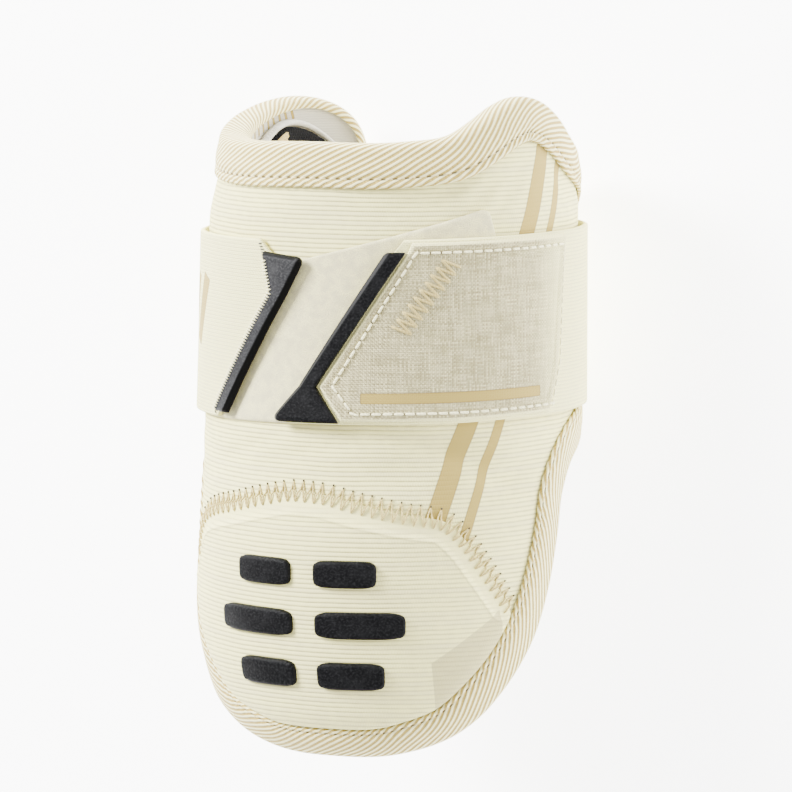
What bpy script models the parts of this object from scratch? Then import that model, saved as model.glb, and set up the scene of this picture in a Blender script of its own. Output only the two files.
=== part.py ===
"""A baseball elbow guard, lying on its back with the elbow cap up.

A padded, knit-covered shell cups the elbow. Twill tape binds its whole edge, a raised cap with
rubber bumpers covers the elbow itself, and one elastic strap closes the guard round the arm.
The arm would run along Y, with the cuff at +Y and the elbow lobe at -Y. Metres, +Z up.

Every piece is drawn on one flat pattern: an angle round the arm (0 at the middle of the cap,
growing to the right) and a height along the arm from the tip of the lobe. wrap() bends the
pattern round the arm and lifts it off the shell's outer face.
"""

import math

import bmesh
import bpy
import numpy as np

# The guard as a whole
LENGTH = 0.228
RADIUS = 0.0655
BACK_DEPTH = 0.050
BACK_CORNER = 0.030

# Walls
SHELL_WALL = 0.006
LINING_WALL = 0.0012
TAPE_WALL = 0.0012
CAP_WALL = 0.0012
PANEL_WALL = 0.0008
STRAP_WALL = 0.0016
COVER_WALL = 0.0008
TRIM_WALL = 0.0022
BUMPER_WALL = 0.0022
PAD_WALL = 0.004
PIPING_WALL = 0.003
PAD_TAB_WALL = 0.001

# Widths
TAPE_OUTER = 0.0135
TAPE_INNER = 0.0016
STRAP_WIDTH = 0.0635
PIPING_WIDTH = 0.002
PAD_TAB_WIDTH = 0.0115
PAD_TAB_LENGTH = 0.012
TRIM_EDGE = 0.0006
BUMPER_HEIGHT = 0.0095
BUMPER_SPLIT = 0.0075

# Clearances between pieces that touch
GAP = 0.0004
EDGE_GAP = 0.0010
INNER_GAP = 0.0010
BESIDE = 0.0006

# Places on the pattern
STRAP_HEIGHT = 0.652
STRAP_RISE = 0.0012
CAP_MIDDLE = 3.0

# How far each layer's inner face stands off the shell's outer face
TAPE_LIFT = GAP
CAP_LIFT = GAP
PANEL_LIFT = GAP
STRAP_LIFT = PANEL_LIFT + PANEL_WALL + GAP
STRAP_BACK_LIFT = TAPE_LIFT + TAPE_WALL + GAP
COVER_LIFT = STRAP_LIFT + STRAP_WALL + GAP
TRIM_LIFT = COVER_LIFT
BUMPER_LIFT = CAP_LIFT + CAP_WALL + GAP
LINING_LIFT = -SHELL_WALL - GAP
INSIDE_LIFT = LINING_LIFT - LINING_WALL
PAD_LIFT = INSIDE_LIFT - INNER_GAP

# Height as a share of LENGTH. Left, right and front as shares of RADIUS, from the arm's axis.
SECTIONS = (
    (-0.050, 0.55, 0.55, 0.565),
    (-0.023, 0.70, 0.69, 0.700),
    (-0.006, 0.78, 0.765, 0.785),
    (0.021, 0.87, 0.855, 0.885),
    (0.078, 0.97, 0.962, 0.985),
    (0.196, 1.023, 1.015, 1.061),
    (0.328, 1.010, 1.008, 1.092),
    (0.459, 1.015, 1.000, 1.023),
    (0.635, 1.000, 1.000, 1.000),
    (0.797, 0.980, 1.000, 1.000),
    (0.850, 0.942, 0.993, 0.993),
    (0.895, 0.906, 0.983, 0.983),
    (0.945, 0.884, 0.970, 0.975),
    (1.029, 0.866, 0.947, 0.962),
)

# Soft folds in the shell: angle, height share, lean in degrees, half length and half width as
# shares of RADIUS, and depth as a share of SHELL_WALL.
FOLDS = (
    (38, 0.462, 24, 0.30, 0.11, 0.16),
    (58, 0.455, -30, 0.26, 0.10, 0.14),
    (12, 0.832, 10, 0.34, 0.09, 0.12),
)

# The shell's edge, counter-clockwise from the tip of the lobe: angle and height share.
RIM = (
    (6, 0.000),
    (32, 0.008),
    (50, 0.038),
    (62.5, 0.094),
    (72.5, 0.160),
    (82, 0.253),
    (87.5, 0.332),
    (91, 0.392),
    (98, 0.434),
    (108, 0.454),
    (120, 0.468),
    (133, 0.486),
    (141, 0.530),
    (143.5, 0.620),
    (143.5, 0.750),
    (140, 0.830),
    (130, 0.878),
    (116, 0.905),
    (103, 0.930),
    (91, 0.968),
    (83, 0.987),
    (75, 0.994),
    (66, 0.984),
    (57, 0.962),
    (48, 0.941),
    (32, 0.931),
    (0, 0.929),
    (-32, 0.926),
    (-50, 0.930),
    (-66, 0.942),
    (-85, 0.958),
    (-100, 0.969),
    (-112, 0.973),
    (-122, 0.968),
    (-131, 0.953),
    (-138, 0.926),
    (-142, 0.882),
    (-143.5, 0.800),
    (-143.5, 0.620),
    (-141, 0.530),
    (-133, 0.486),
    (-120, 0.468),
    (-103, 0.454),
    (-89, 0.434),
    (-80, 0.392),
    (-75.5, 0.332),
    (-70, 0.253),
    (-60.5, 0.160),
    (-50.5, 0.094),
    (-38, 0.038),
    (-20, 0.008),
)
# The rows of RIM where the sides of the shell's grid meet: lower right, upper right, upper left
# and lower left.
RIM_CORNERS = (3, 15, 36, 48)

# The cap's upper seam, left to right: angle from CAP_MIDDLE and height share.
CAP_SEAM = (
    (-55.5, 0.285),
    (-51, 0.325),
    (-45, 0.355),
    (-38, 0.370),
    (-27, 0.383),
    (-12, 0.402),
    (-4, 0.409),
    (4, 0.407),
    (14, 0.395),
    (29, 0.378),
    (39, 0.369),
    (45.5, 0.342),
    (52, 0.298),
    (60.5, 0.238),
)
# Where the cap's lower edge starts and ends, as rows of RIM, counted on past its last row.
CAP_EDGE = (46.3, 55.3)

# Rows of bumpers on the cap: height share, and half the row's width as a share of RADIUS.
BUMPER_ROWS = (
    (0.290, 0.36),
    (0.212, 0.50),
    (0.134, 0.40),
)

# In the strap's tables a height is a share of STRAP_WIDTH from its lower edge, and an angle is
# in degrees. The loop panel, bottom to top: left angle and height, right angle and height.
LOOP_PANEL = (
    (-44, -0.010, 66, 0.010),
    (-24, 0.700, 64, 0.780),
    (-8, 0.855, 58, 1.155),
)
# The strap's two ends, bottom to top: height, angle of the right end, angle of the left end.
STRAP_ENDS = (
    (0.0, -3.5, -34.0),
    (0.2, 2.2, -23.5),
    (0.4, 9.0, -16.6),
    (0.6, 16.0, -9.8),
    (0.8, 22.8, -5.0),
    (1.0, 31.5, -14.0),
)
# The strap's columns run straight along the arm between these angles.
STRAP_STRAIGHT = (42, 300)
# Degrees from the middle of the back where the strap starts to rise, and where it has risen.
STRAP_CLIMB = (98, 84)

# The woven cover on the strap's right part: left angle and height, right angle and height.
COVER = (
    (13.4, 0.015, 79.5, 0.020),
    (6.8, 0.205, 83.5, 0.220),
    (32.6, 0.940, 88.0, 0.940),
    (33.5, 0.985, 88.5, 0.985),
)
# The moulded strip at the cover's left end.
ANCHOR_STRIP = (
    (-8.8, 0.012, 12.6, 0.008),
    (0.6, 0.205, 5.9, 0.205),
    (25.9, 0.935, 31.7, 0.935),
)
# The moulded pull tab at the strap's left end.
PULL_TAB = (
    (-32.6, 0.040, -26.5, 0.030),
    (-9.0, 0.715, -3.6, 0.700),
    (-11.6, 0.935, 2.4, 0.905),
)

# The pad inside the left flap: middle angle, half width in degrees, lowest and highest height
# share, and how far its top corners drop as a share of its height.
PAD_MIDDLE = -103.0
PAD_HALF = 30.0
PAD_HEIGHTS = (0.560, 0.939)
PAD_ARCH = 0.15
PAD_TAB_ANGLE = -90.0

# How finely the pieces are drawn
SHELL_CELLS = (30, 17)
ROW_CROWDING = 1.2
TAPE_SECTIONS = 116
CAP_CELLS = (20, 12)
BUMPER_CELLS = (5, 2)
LOOP_COLUMNS = 16
COVER_COLUMNS = 12
TRIM_COLUMNS = 3
STRAP_COLUMNS = 64
STRAP_END_SHARE = 1 / 8
FINEST_ROW = 0.010
PAD_CELLS = (10, 7)
PAD_TAB_CELLS = (2, 2)
RIM_CELLS = 20
INSET_STEPS = 6
ROUNDING = 5
NORMAL_STEP = 0.001
SHARP_CORNER = 50

SECTION_TABLE = np.array(SECTIONS)


def through(places, values, at):
    """A smooth curve through a table's values, which turns only where they do."""
    steps = np.diff(places)
    slopes = np.diff(values) / steps
    bends = np.concatenate([slopes[:1], np.zeros(len(slopes) - 1), slopes[-1:]])
    turns = slopes[:-1] * slopes[1:]
    sums = np.where(turns > 0, slopes[:-1] + slopes[1:], 1.0)
    bends[1:-1] = np.where(turns > 0, 2 * turns / sums, 0.0)
    row = np.clip(np.searchsorted(places, at) - 1, 0, len(steps) - 1)
    share = (at - places[row]) / steps[row]
    rise = share * share * (3 - 2 * share)
    level = values[row] * (1 - rise) + values[row + 1] * rise
    start = bends[row] * share * (1 - share) ** 2
    end = bends[row + 1] * share**2 * (1 - share)
    return level + steps[row] * (start - end)


def strap_height(share, angle):
    """The height of a place across the strap, from its lower edge at 0 to its upper edge at 1.

    The strap runs a little higher round the guard's right side than round its left.
    """
    middle = STRAP_HEIGHT * LENGTH + STRAP_RISE * np.sin(angle)
    return middle + (share - 0.5) * STRAP_WIDTH


def fold_depth(angle, height):
    """How far the soft folds dip below the shell's outer face."""
    depth = 0.0
    for middle, share, lean, half_length, half_width, deep in FOLDS:
        across = (angle - math.radians(middle)) * RADIUS
        up = height - share * LENGTH
        turn = math.radians(lean)
        along = (across * math.cos(turn) + up * math.sin(turn)) / (half_length * RADIUS)
        aside = (up * math.cos(turn) - across * math.sin(turn)) / (half_width * RADIUS)
        depth = depth + deep * SHELL_WALL * np.exp(-(along**2) - aside**2)
    return depth


def shell_face(angle, height):
    """Points on the shell's outer face, round the arm's axis. Angles are in radians."""
    left, right, front = (
        RADIUS * through(SECTION_TABLE[:, 0], SECTION_TABLE[:, column], height / LENGTH)
        for column in (1, 2, 3)
    )
    across = np.sin(angle)
    up = np.cos(angle)
    side = np.where(across < 0, left, right)
    top = np.where(up > 0, front, side)
    reach = 1 / np.sqrt((across / side) ** 2 + (up / top) ** 2)

    # The back is a flat at its own depth, with a round corner on each side of it.
    corner_depth = BACK_DEPTH - BACK_CORNER
    corner_out = np.sqrt(np.maximum((side - BACK_CORNER) ** 2 - corner_depth**2, 0.0))
    down = np.maximum(-up, 0.001)
    spread = np.where(up < 0, np.abs(across) / down, np.inf)
    facing = np.abs(across) * corner_out + down * corner_depth
    past_middle = facing**2 - corner_out**2 - corner_depth**2 + BACK_CORNER**2
    corner = facing + np.sqrt(np.maximum(past_middle, 0.0))
    reach = np.where(spread < corner_out / corner_depth, corner, reach)
    reach = np.where(spread < corner_out / BACK_DEPTH, BACK_DEPTH / down, reach)

    reach = reach - fold_depth(angle, height)
    return np.stack([reach * across, height + 0.0 * angle, reach * up], axis=-1)


def wrap(angle, height, lift):
    """Pattern points bent round the arm and lifted off the shell's outer face."""
    angle, height, lift = np.broadcast_arrays(angle, height, lift)
    step = NORMAL_STEP
    turn = shell_face(angle + step, height) - shell_face(angle - step, height)
    rise = shell_face(angle, height + step * RADIUS) - shell_face(angle, height - step * RADIUS)
    out = np.cross(turn, rise)
    out = out / np.linalg.norm(out, axis=-1, keepdims=True)
    return shell_face(angle, height) + lift[..., None] * out


def rim_curve():
    """The shell's edge as close pattern points, RIM_CELLS of them from each row to the next."""
    table = np.array(RIM)
    points = np.column_stack([np.radians(table[:, 0]) * RADIUS, table[:, 1] * LENGTH])
    after = np.roll(points, -1, axis=0)
    gaps = np.linalg.norm(after - points, axis=1, keepdims=True)
    gaps_before = np.roll(gaps, 1, axis=0)
    slopes = (after - points) / gaps
    bends = slopes * gaps_before + np.roll(slopes, 1, axis=0) * gaps
    bends = bends / (gaps + gaps_before)
    bends_after = np.roll(bends, -1, axis=0)
    share = (np.arange(RIM_CELLS) / RIM_CELLS)[None, :, None]
    rise = share * share * (3 - 2 * share)
    start = share * (1 - share) ** 2
    end = share**2 * (1 - share)
    curve = points[:, None] * (1 - rise) + after[:, None] * rise
    curve = curve + gaps[:, None] * (bends[:, None] * start - bends_after[:, None] * end)
    curve = curve.reshape(-1, 2)
    return np.column_stack([curve[:, 0] / RADIUS, curve[:, 1]])


def rim_run(first, last, shares):
    """Pattern points at shares of the way along the shell's edge, between two rows of RIM."""
    curve = rim_curve()
    rows = np.arange(round(first * RIM_CELLS), round(last * RIM_CELLS) + 1)
    points = curve[rows % len(curve)]
    steps = np.diff(points * (RADIUS, 1.0), axis=0)
    distance = np.concatenate([[0.0], np.cumsum(np.linalg.norm(steps, axis=1))])
    places = np.asarray(shares) * distance[-1]
    return np.column_stack([np.interp(places, distance, points[:, side]) for side in (0, 1)])


def shell_sides():
    """The four runs of the edge: bottom and top from left to right, left and right going up."""
    lower_right, upper_right, upper_left, lower_left = RIM_CORNERS
    columns, rows = (np.linspace(0.0, 1.0, cells + 1) for cells in SHELL_CELLS)
    bottom = rim_run(lower_left, lower_right + len(RIM), columns)
    right = rim_run(lower_right, upper_right, rows)
    top = rim_run(upper_right, upper_left, columns)[::-1]
    left = rim_run(upper_left, lower_left, rows)[::-1]
    return bottom, right, top, left


def shell_layer(lift, wall):
    """A layer as wide as the shell. Its places on the pattern are blended from the four sides."""
    bottom, right, top, left = shell_sides()
    across, up = SHELL_CELLS
    # The rows lie closer together towards the lobe, where the shell curves most.
    rows = np.linspace(0.0, 1.0, up + 1) ** ROW_CROWDING

    def surface(u, v, out):
        column = np.rint(u * across).astype(int)
        row = np.rint(v * up).astype(int)
        u, v = u[:, None], rows[row][:, None]
        between = bottom[column] * (1 - v) + top[column] * v
        between = between + left[row] * (1 - u) + right[row] * u
        corners = (bottom[0] * (1 - u) + bottom[-1] * u) * (1 - v)
        corners = corners + (top[0] * (1 - u) + top[-1] * u) * v
        points = between - corners
        return wrap(points[:, 0], points[:, 1], lift + out * wall)

    return surface


def inset(points, tangents, distances):
    """Pattern points that lie these distances inside the edge, measured on the shell itself."""
    base = shell_face(points[:, 0], points[:, 1])
    turn = (shell_face(points[:, 0] + NORMAL_STEP, points[:, 1]) - base) / NORMAL_STEP
    rise = (shell_face(points[:, 0], points[:, 1] + NORMAL_STEP) - base) / NORMAL_STEP
    along = turn * tangents[:, :1] + rise * tangents[:, 1:]
    inward = np.cross(np.cross(turn, rise), along)
    inward = inward / np.linalg.norm(inward, axis=1, keepdims=True)
    turn_share = np.sum(inward * turn, axis=1) / np.sum(turn * turn, axis=1)
    rise_share = np.sum(inward * rise, axis=1) / np.sum(rise * rise, axis=1)
    direction = np.column_stack([turn_share, rise_share])
    place = points.copy()
    for _ in range(INSET_STEPS):
        ahead = place + direction * NORMAL_STEP
        start = shell_face(place[:, 0], place[:, 1])
        end = shell_face(ahead[:, 0], ahead[:, 1])
        stretch = np.linalg.norm(end - start, axis=1, keepdims=True) / NORMAL_STEP
        place = place + direction * np.reshape(distances, (-1, 1)) / INSET_STEPS / stretch
    return place


def finish(piece, name, look, smooth=True):
    piece.name = name
    piece.data.name = name
    piece.data.materials.append(look)
    if smooth:
        piece.data.shade_smooth()
    for collection in list(piece.users_collection):
        collection.objects.unlink(piece)
    guard.objects.link(piece)
    piece.parent = frame
    return piece


def panel(name, surface, cells, look, edge=0.0):
    """A flat slab of cells, bent so that each corner goes where surface(u, v, out) puts it.

    The shares u and v run over the slab, and out is 0 on its inner face and 1 on its outer one.
    """
    bpy.ops.mesh.primitive_grid_add(x_subdivisions=cells[0], y_subdivisions=cells[1], size=2)
    piece = bpy.context.object
    slab = bmesh.new()
    slab.from_mesh(piece.data)
    raised = bmesh.ops.extrude_face_region(slab, geom=slab.faces[:])["geom"]
    for corner in raised:
        if isinstance(corner, bmesh.types.BMVert):
            corner.co.z = 1.0
    bmesh.ops.recalc_face_normals(slab, faces=slab.faces[:])
    flat = np.array([corner.co[:] for corner in slab.verts])
    bent = surface((flat[:, 0] + 1) / 2, (flat[:, 1] + 1) / 2, flat[:, 2])
    for corner, place in zip(slab.verts, bent):
        corner.co = place
    slab.to_mesh(piece.data)
    slab.free()
    if edge:
        soften = piece.modifiers.new("edge", "BEVEL")
        soften.width = edge
        soften.segments = 1
        soften.limit_method = "ANGLE"
        soften.angle_limit = math.radians(SHARP_CORNER)
    return finish(piece, name, look)


def ruled(rows, lift, wall, columns):
    """A slab between a left and a right edge, with grid rows at most FINEST_ROW apart.

    It gives the surface and the number of cells, so that each table row gets a grid row.
    """
    table = np.array(rows, float)
    degree = math.radians(1) * RADIUS
    steps = np.abs(np.diff(table, axis=0)) * (degree, STRAP_WIDTH, degree, STRAP_WIDTH)
    counts = np.maximum(np.ceil(np.max(steps, axis=1) / FINEST_ROW), 1)
    places = np.concatenate([[0.0], np.cumsum(counts)])

    def surface(u, v, out):
        at = v * places[-1]
        left_angle, left_height, right_angle, right_height = (
            np.interp(at, places, table[:, column]) for column in range(4)
        )
        angle = np.radians(left_angle + u * (right_angle - left_angle))
        height = strap_height(left_height + u * (right_height - left_height), angle)
        return wrap(angle, height, lift + out * wall)

    return surface, (columns, int(places[-1]))


def paint(name, colour, roughness):
    look = bpy.data.materials.new(name)
    look.use_nodes = True
    shader = look.node_tree.nodes["Principled BSDF"]
    shader.inputs["Base Color"].default_value = (*colour, 1.0)
    shader.inputs["Roughness"].default_value = roughness
    shader.inputs["Metallic"].default_value = 0.0
    look.diffuse_color = (*colour, 1.0)
    return look


def make_shell():
    panel("shell", shell_layer(-SHELL_WALL, SHELL_WALL), SHELL_CELLS, knit)
    panel("lining", shell_layer(INSIDE_LIFT, LINING_WALL), SHELL_CELLS, grey_knit)


def make_binding():
    """Twill tape folded round the whole edge: a wide leg outside and a narrow one inside."""
    edge = rim_run(0, len(RIM), np.linspace(0.0, 1.0, TAPE_SECTIONS + 1))[:-1]
    tangents = np.roll(edge, -1, axis=0) - np.roll(edge, 1, axis=0)
    outer_face = TAPE_LIFT + TAPE_WALL
    inner_top = INSIDE_LIFT - INNER_GAP
    inner_face = inner_top - TAPE_WALL
    round_edge = EDGE_GAP + TAPE_WALL
    profile = (
        (TAPE_OUTER, outer_face),
        (TAPE_OUTER / 2, outer_face),
        (0.0, outer_face),
        (-round_edge, outer_face - round_edge),
        (-round_edge, inner_face + round_edge),
        (0.0, inner_face),
        (TAPE_INNER, inner_face),
        (TAPE_INNER, inner_top),
        (-EDGE_GAP, inner_top),
        (-EDGE_GAP, TAPE_LIFT),
        (TAPE_OUTER / 2, TAPE_LIFT),
        (TAPE_OUTER, TAPE_LIFT),
    )
    rings = []
    for depth, lift in profile:
        place = inset(edge, tangents, depth)
        rings.append(wrap(place[:, 0], place[:, 1], lift))
    points = np.stack(rings, axis=1)
    around, across = len(edge), len(profile)
    faces = [
        (
            i * across + j,
            i * across + (j + 1) % across,
            (i + 1) % around * across + (j + 1) % across,
            (i + 1) % around * across + j,
        )
        for i in range(around)
        for j in range(across)
    ]
    mesh = bpy.data.meshes.new("edge_binding")
    mesh.from_pydata(points.reshape(-1, 3).tolist(), [], faces)
    piece = bpy.data.objects.new("edge_binding", mesh)
    guard.objects.link(piece)
    finish(piece, "edge_binding", twill, smooth=False)


def make_cap():
    """The raised panel over the elbow, from the binding's inner edge up to its own seam."""
    seam = np.array(CAP_SEAM)
    seam_angles = seam[:, 0] + CAP_MIDDLE
    cells = CAP_CELLS[0]
    edge = rim_run(*CAP_EDGE, np.linspace(0.0, 1.0, cells + 1))
    tangents = np.gradient(edge, axis=0)
    lower = inset(edge, tangents, TAPE_OUTER + BESIDE)

    def surface(u, v, out):
        column = np.rint(u * cells).astype(int)
        angle = seam_angles[0] + u * (seam_angles[-1] - seam_angles[0])
        height = through(seam_angles, seam[:, 1], angle) * LENGTH
        upper = np.column_stack([np.radians(angle), height])
        place = lower[column] * (1 - v[:, None]) + upper * v[:, None]
        return wrap(place[:, 0], place[:, 1], CAP_LIFT + out * CAP_WALL)

    panel("elbow_cap", surface, CAP_CELLS, knit)


def make_bumpers():
    """Rounded rubber pads on the cap, in rows of two."""
    number = 0
    for share, half_row in BUMPER_ROWS:
        for side in (-1, 1):
            number += 1
            inner = BUMPER_SPLIT / 2
            outer = half_row * RADIUS
            middle = math.radians(CAP_MIDDLE) + side * (inner + outer) / 2 / RADIUS
            half_width = (outer - inner) / 2

            def surface(u, v, out, share=share, middle=middle, half_width=half_width):
                across, up = 2 * u - 1, 2 * v - 1
                largest = np.maximum(np.abs(across), np.abs(up))
                rounded = (np.abs(across) ** ROUNDING + np.abs(up) ** ROUNDING) ** (1 / ROUNDING)
                pull = largest / np.maximum(rounded, 0.001)
                angle = middle + pull * across * half_width / RADIUS
                height = share * LENGTH + pull * up * BUMPER_HEIGHT / 2
                return wrap(angle, height, BUMPER_LIFT + out * BUMPER_WALL)

            panel(f"cap_bumper_{number}", surface, BUMPER_CELLS, rubber)


def make_strap():
    """One elastic band, from the anchor strip round the back to the pull tab, and its trims."""
    ends = np.array(STRAP_ENDS)
    first, last = STRAP_STRAIGHT
    places = (0.0, STRAP_END_SHARE, 1 - STRAP_END_SHARE, 1.0)

    def surface(u, v, out):
        right_end, left_end = (through(ends[:, 0], ends[:, side], v) for side in (1, 2))
        to_first = right_end + (first - right_end) * u / places[1]
        to_last = last + (left_end + 360 - last) * (u - places[2]) / STRAP_END_SHARE
        angle = first + (last - first) * (u - places[1]) / (places[2] - places[1])
        angle = np.where(u < places[1], to_first, np.where(u > places[2], to_last, angle))
        # The strap rises off the shell's face to pass over the binding of both flaps.
        start, risen = STRAP_CLIMB
        climb = np.clip((start - np.abs(angle - 180)) / (start - risen), 0.0, 1.0)
        lift = STRAP_LIFT + (STRAP_BACK_LIFT - STRAP_LIFT) * climb
        angle = np.radians(angle)
        return wrap(angle, strap_height(v, angle), lift + out * STRAP_WALL)

    panel("strap", surface, (STRAP_COLUMNS, len(STRAP_ENDS) - 1), elastic)


def make_strap_trims():
    """The loop panel under the strap's ends, the woven cover and the two moulded pieces."""
    panel("loop_panel", *ruled(LOOP_PANEL, PANEL_LIFT, PANEL_WALL, LOOP_COLUMNS), loop_cloth)
    panel("strap_cover", *ruled(COVER, COVER_LIFT, COVER_WALL, COVER_COLUMNS), heather)
    for name, rows in (("anchor_strip", ANCHOR_STRIP), ("pull_tab", PULL_TAB)):
        panel(name, *ruled(rows, TRIM_LIFT, TRIM_WALL, TRIM_COLUMNS), rubber, edge=TRIM_EDGE)


def pad_top(angle):
    """The height of the inner pad's arched top at an angle in degrees."""
    low, high = PAD_HEIGHTS
    away = (angle - PAD_MIDDLE) / PAD_HALF
    return (high - (high - low) * PAD_ARCH * away**2) * LENGTH


def make_inner_pad():
    """The pad inside the left flap, the piping over its arched top and a small ribbed tab."""
    low = PAD_HEIGHTS[0] * LENGTH

    def pad(u, v, out):
        angle = PAD_MIDDLE + PAD_HALF * (2 * u - 1)
        height = low + (pad_top(angle) - low) * v
        return wrap(np.radians(angle), height, PAD_LIFT - (1 - out) * PAD_WALL)

    def piping(u, v, out):
        angle = PAD_MIDDLE + PAD_HALF * (2 * u - 1)
        height = pad_top(angle) + BESIDE + PIPING_WIDTH * v
        return wrap(np.radians(angle), height, PAD_LIFT - (1 - out) * PIPING_WALL)

    def tab(u, v, out):
        angle = PAD_TAB_ANGLE + np.degrees(PAD_TAB_WIDTH / RADIUS) * (u - 0.5)
        height = pad_top(angle) - PAD_TAB_LENGTH * (1 - v)
        lift = PAD_LIFT - PAD_WALL - GAP - (1 - out) * PAD_TAB_WALL
        return wrap(np.radians(angle), height, lift)

    panel("inner_pad", pad, PAD_CELLS, black_cloth)
    panel("pad_piping", piping, (PAD_CELLS[0], 1), white_cloth)
    panel("pad_tab", tab, PAD_TAB_CELLS, tan_ribbon)


def rest_on_back():
    """Puts the middle of the guard's foot at the origin and its lowest face on the ground."""
    bpy.context.view_layer.update()
    graph = bpy.context.evaluated_depsgraph_get()
    corners = [
        corner[:]
        for piece in guard.objects
        if piece.type == "MESH"
        for corner in piece.evaluated_get(graph).bound_box
    ]
    low, high = np.min(corners, axis=0), np.max(corners, axis=0)
    frame.location = (-(low[0] + high[0]) / 2, -(low[1] + high[1]) / 2, -low[2])


for old in list(bpy.data.objects):
    bpy.data.objects.remove(old, do_unlink=True)

guard = bpy.data.collections.new("elbow_guard")
bpy.context.scene.collection.children.link(guard)
frame = bpy.data.objects.new("arm_axis", None)
guard.objects.link(frame)

knit = paint("cream ribbed knit", (0.78, 0.74, 0.64), 0.9)
grey_knit = paint("pale grey lining", (0.60, 0.58, 0.53), 0.9)
twill = paint("cream and tan twill tape", (0.70, 0.59, 0.40), 0.85)
elastic = paint("cream elastic", (0.80, 0.77, 0.68), 0.85)
heather = paint("heathered beige weave", (0.62, 0.58, 0.49), 0.85)
loop_cloth = paint("cream loop pile", (0.80, 0.77, 0.69), 0.95)
rubber = paint("black moulded rubber", (0.02, 0.02, 0.022), 0.5)
black_cloth = paint("black pad cloth", (0.015, 0.015, 0.017), 0.9)
white_cloth = paint("white piping", (0.75, 0.74, 0.70), 0.85)
tan_ribbon = paint("tan ribbed ribbon", (0.62, 0.49, 0.29), 0.8)

make_shell()
make_binding()
make_cap()
make_bumpers()
make_strap()
make_strap_trims()
make_inner_pad()
rest_on_back()
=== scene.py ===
"""A baseball elbow guard in cream ribbed knit, lying on its back with the elbow cap up.

Every piece is drawn on one flat pattern: an angle round the arm (0 at the middle of the cap,
growing to the right) and a height along the arm from the tip of the lobe. wrap() bends the
pattern round the arm and lifts it off the shell's outer face. Metres, +Z up.
"""

import math

import bpy
import numpy as np
from mathutils import Matrix, Vector


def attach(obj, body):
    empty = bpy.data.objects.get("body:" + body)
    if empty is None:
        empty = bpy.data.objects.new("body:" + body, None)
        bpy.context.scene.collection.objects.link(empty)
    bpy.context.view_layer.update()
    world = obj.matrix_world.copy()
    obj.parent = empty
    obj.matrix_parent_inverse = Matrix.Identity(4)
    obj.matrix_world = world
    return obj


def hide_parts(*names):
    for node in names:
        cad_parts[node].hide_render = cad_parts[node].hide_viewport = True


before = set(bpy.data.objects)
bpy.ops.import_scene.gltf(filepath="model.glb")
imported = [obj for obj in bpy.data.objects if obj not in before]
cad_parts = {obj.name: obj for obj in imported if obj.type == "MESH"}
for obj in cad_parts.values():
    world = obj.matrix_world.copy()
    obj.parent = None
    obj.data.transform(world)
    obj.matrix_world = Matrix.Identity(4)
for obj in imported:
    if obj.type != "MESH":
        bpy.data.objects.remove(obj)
bpy.ops.object.select_all(action="DESELECT")
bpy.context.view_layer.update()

# The guard's own sizes, as its solids have them
LENGTH = 0.228
RADIUS = 0.0655
BACK_DEPTH = 0.050
BACK_CORNER = 0.030
SHELL_WALL = 0.006
LINING_WALL = 0.0012
TAPE_WALL = 0.0012
CAP_WALL = 0.0012
PANEL_WALL = 0.0008
STRAP_WALL = 0.0016
COVER_WALL = 0.0008
TRIM_WALL = 0.0022
BUMPER_WALL = 0.0022
PAD_WALL = 0.004
PIPING_WALL = 0.003
PAD_TAB_WALL = 0.001
TAPE_OUTER = 0.0135
TAPE_INNER = 0.0016
STRAP_WIDTH = 0.0635
PIPING_WIDTH = 0.002
PAD_TAB_WIDTH = 0.0115
PAD_TAB_LENGTH = 0.012
BUMPER_HEIGHT = 0.0095
BUMPER_SPLIT = 0.0075
GAP = 0.0004
EDGE_GAP = 0.0010
INNER_GAP = 0.0010
BESIDE = 0.0006
STRAP_HEIGHT = 0.652
STRAP_RISE = 0.0012
CAP_MIDDLE = 3.0
ARM_AXIS = np.array([0.0, -0.1137, 0.0536])

# How far each layer's inner face stands off the shell's outer face
TAPE_LIFT = GAP
CAP_LIFT = GAP
PANEL_LIFT = GAP
STRAP_LIFT = PANEL_LIFT + PANEL_WALL + GAP
STRAP_BACK_LIFT = TAPE_LIFT + TAPE_WALL + GAP
COVER_LIFT = STRAP_LIFT + STRAP_WALL + GAP
COVER_TOP = COVER_LIFT + COVER_WALL
BUMPER_LIFT = CAP_LIFT + CAP_WALL + GAP
LINING_LIFT = -SHELL_WALL - GAP
INSIDE_LIFT = LINING_LIFT - LINING_WALL
PAD_LIFT = INSIDE_LIFT - INNER_GAP

# Height as a share of LENGTH. Left, right and front as shares of RADIUS, from the arm's axis.
SECTIONS = np.array(
    (
        (-0.050, 0.55, 0.55, 0.565),
        (-0.023, 0.70, 0.69, 0.700),
        (-0.006, 0.78, 0.765, 0.785),
        (0.021, 0.87, 0.855, 0.885),
        (0.078, 0.97, 0.962, 0.985),
        (0.196, 1.023, 1.015, 1.061),
        (0.328, 1.010, 1.008, 1.092),
        (0.459, 1.015, 1.000, 1.023),
        (0.635, 1.000, 1.000, 1.000),
        (0.797, 0.980, 1.000, 1.000),
        (0.850, 0.942, 0.993, 0.993),
        (0.895, 0.906, 0.983, 0.983),
        (0.945, 0.884, 0.970, 0.975),
        (1.029, 0.866, 0.947, 0.962),
    )
)

# Soft folds in the shell: angle, height share, lean in degrees, half length and half width as
# shares of RADIUS, and depth as a share of SHELL_WALL.
FOLDS = (
    (38, 0.462, 24, 0.30, 0.11, 0.16),
    (58, 0.455, -30, 0.26, 0.10, 0.14),
    (12, 0.832, 10, 0.34, 0.09, 0.12),
)
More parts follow.
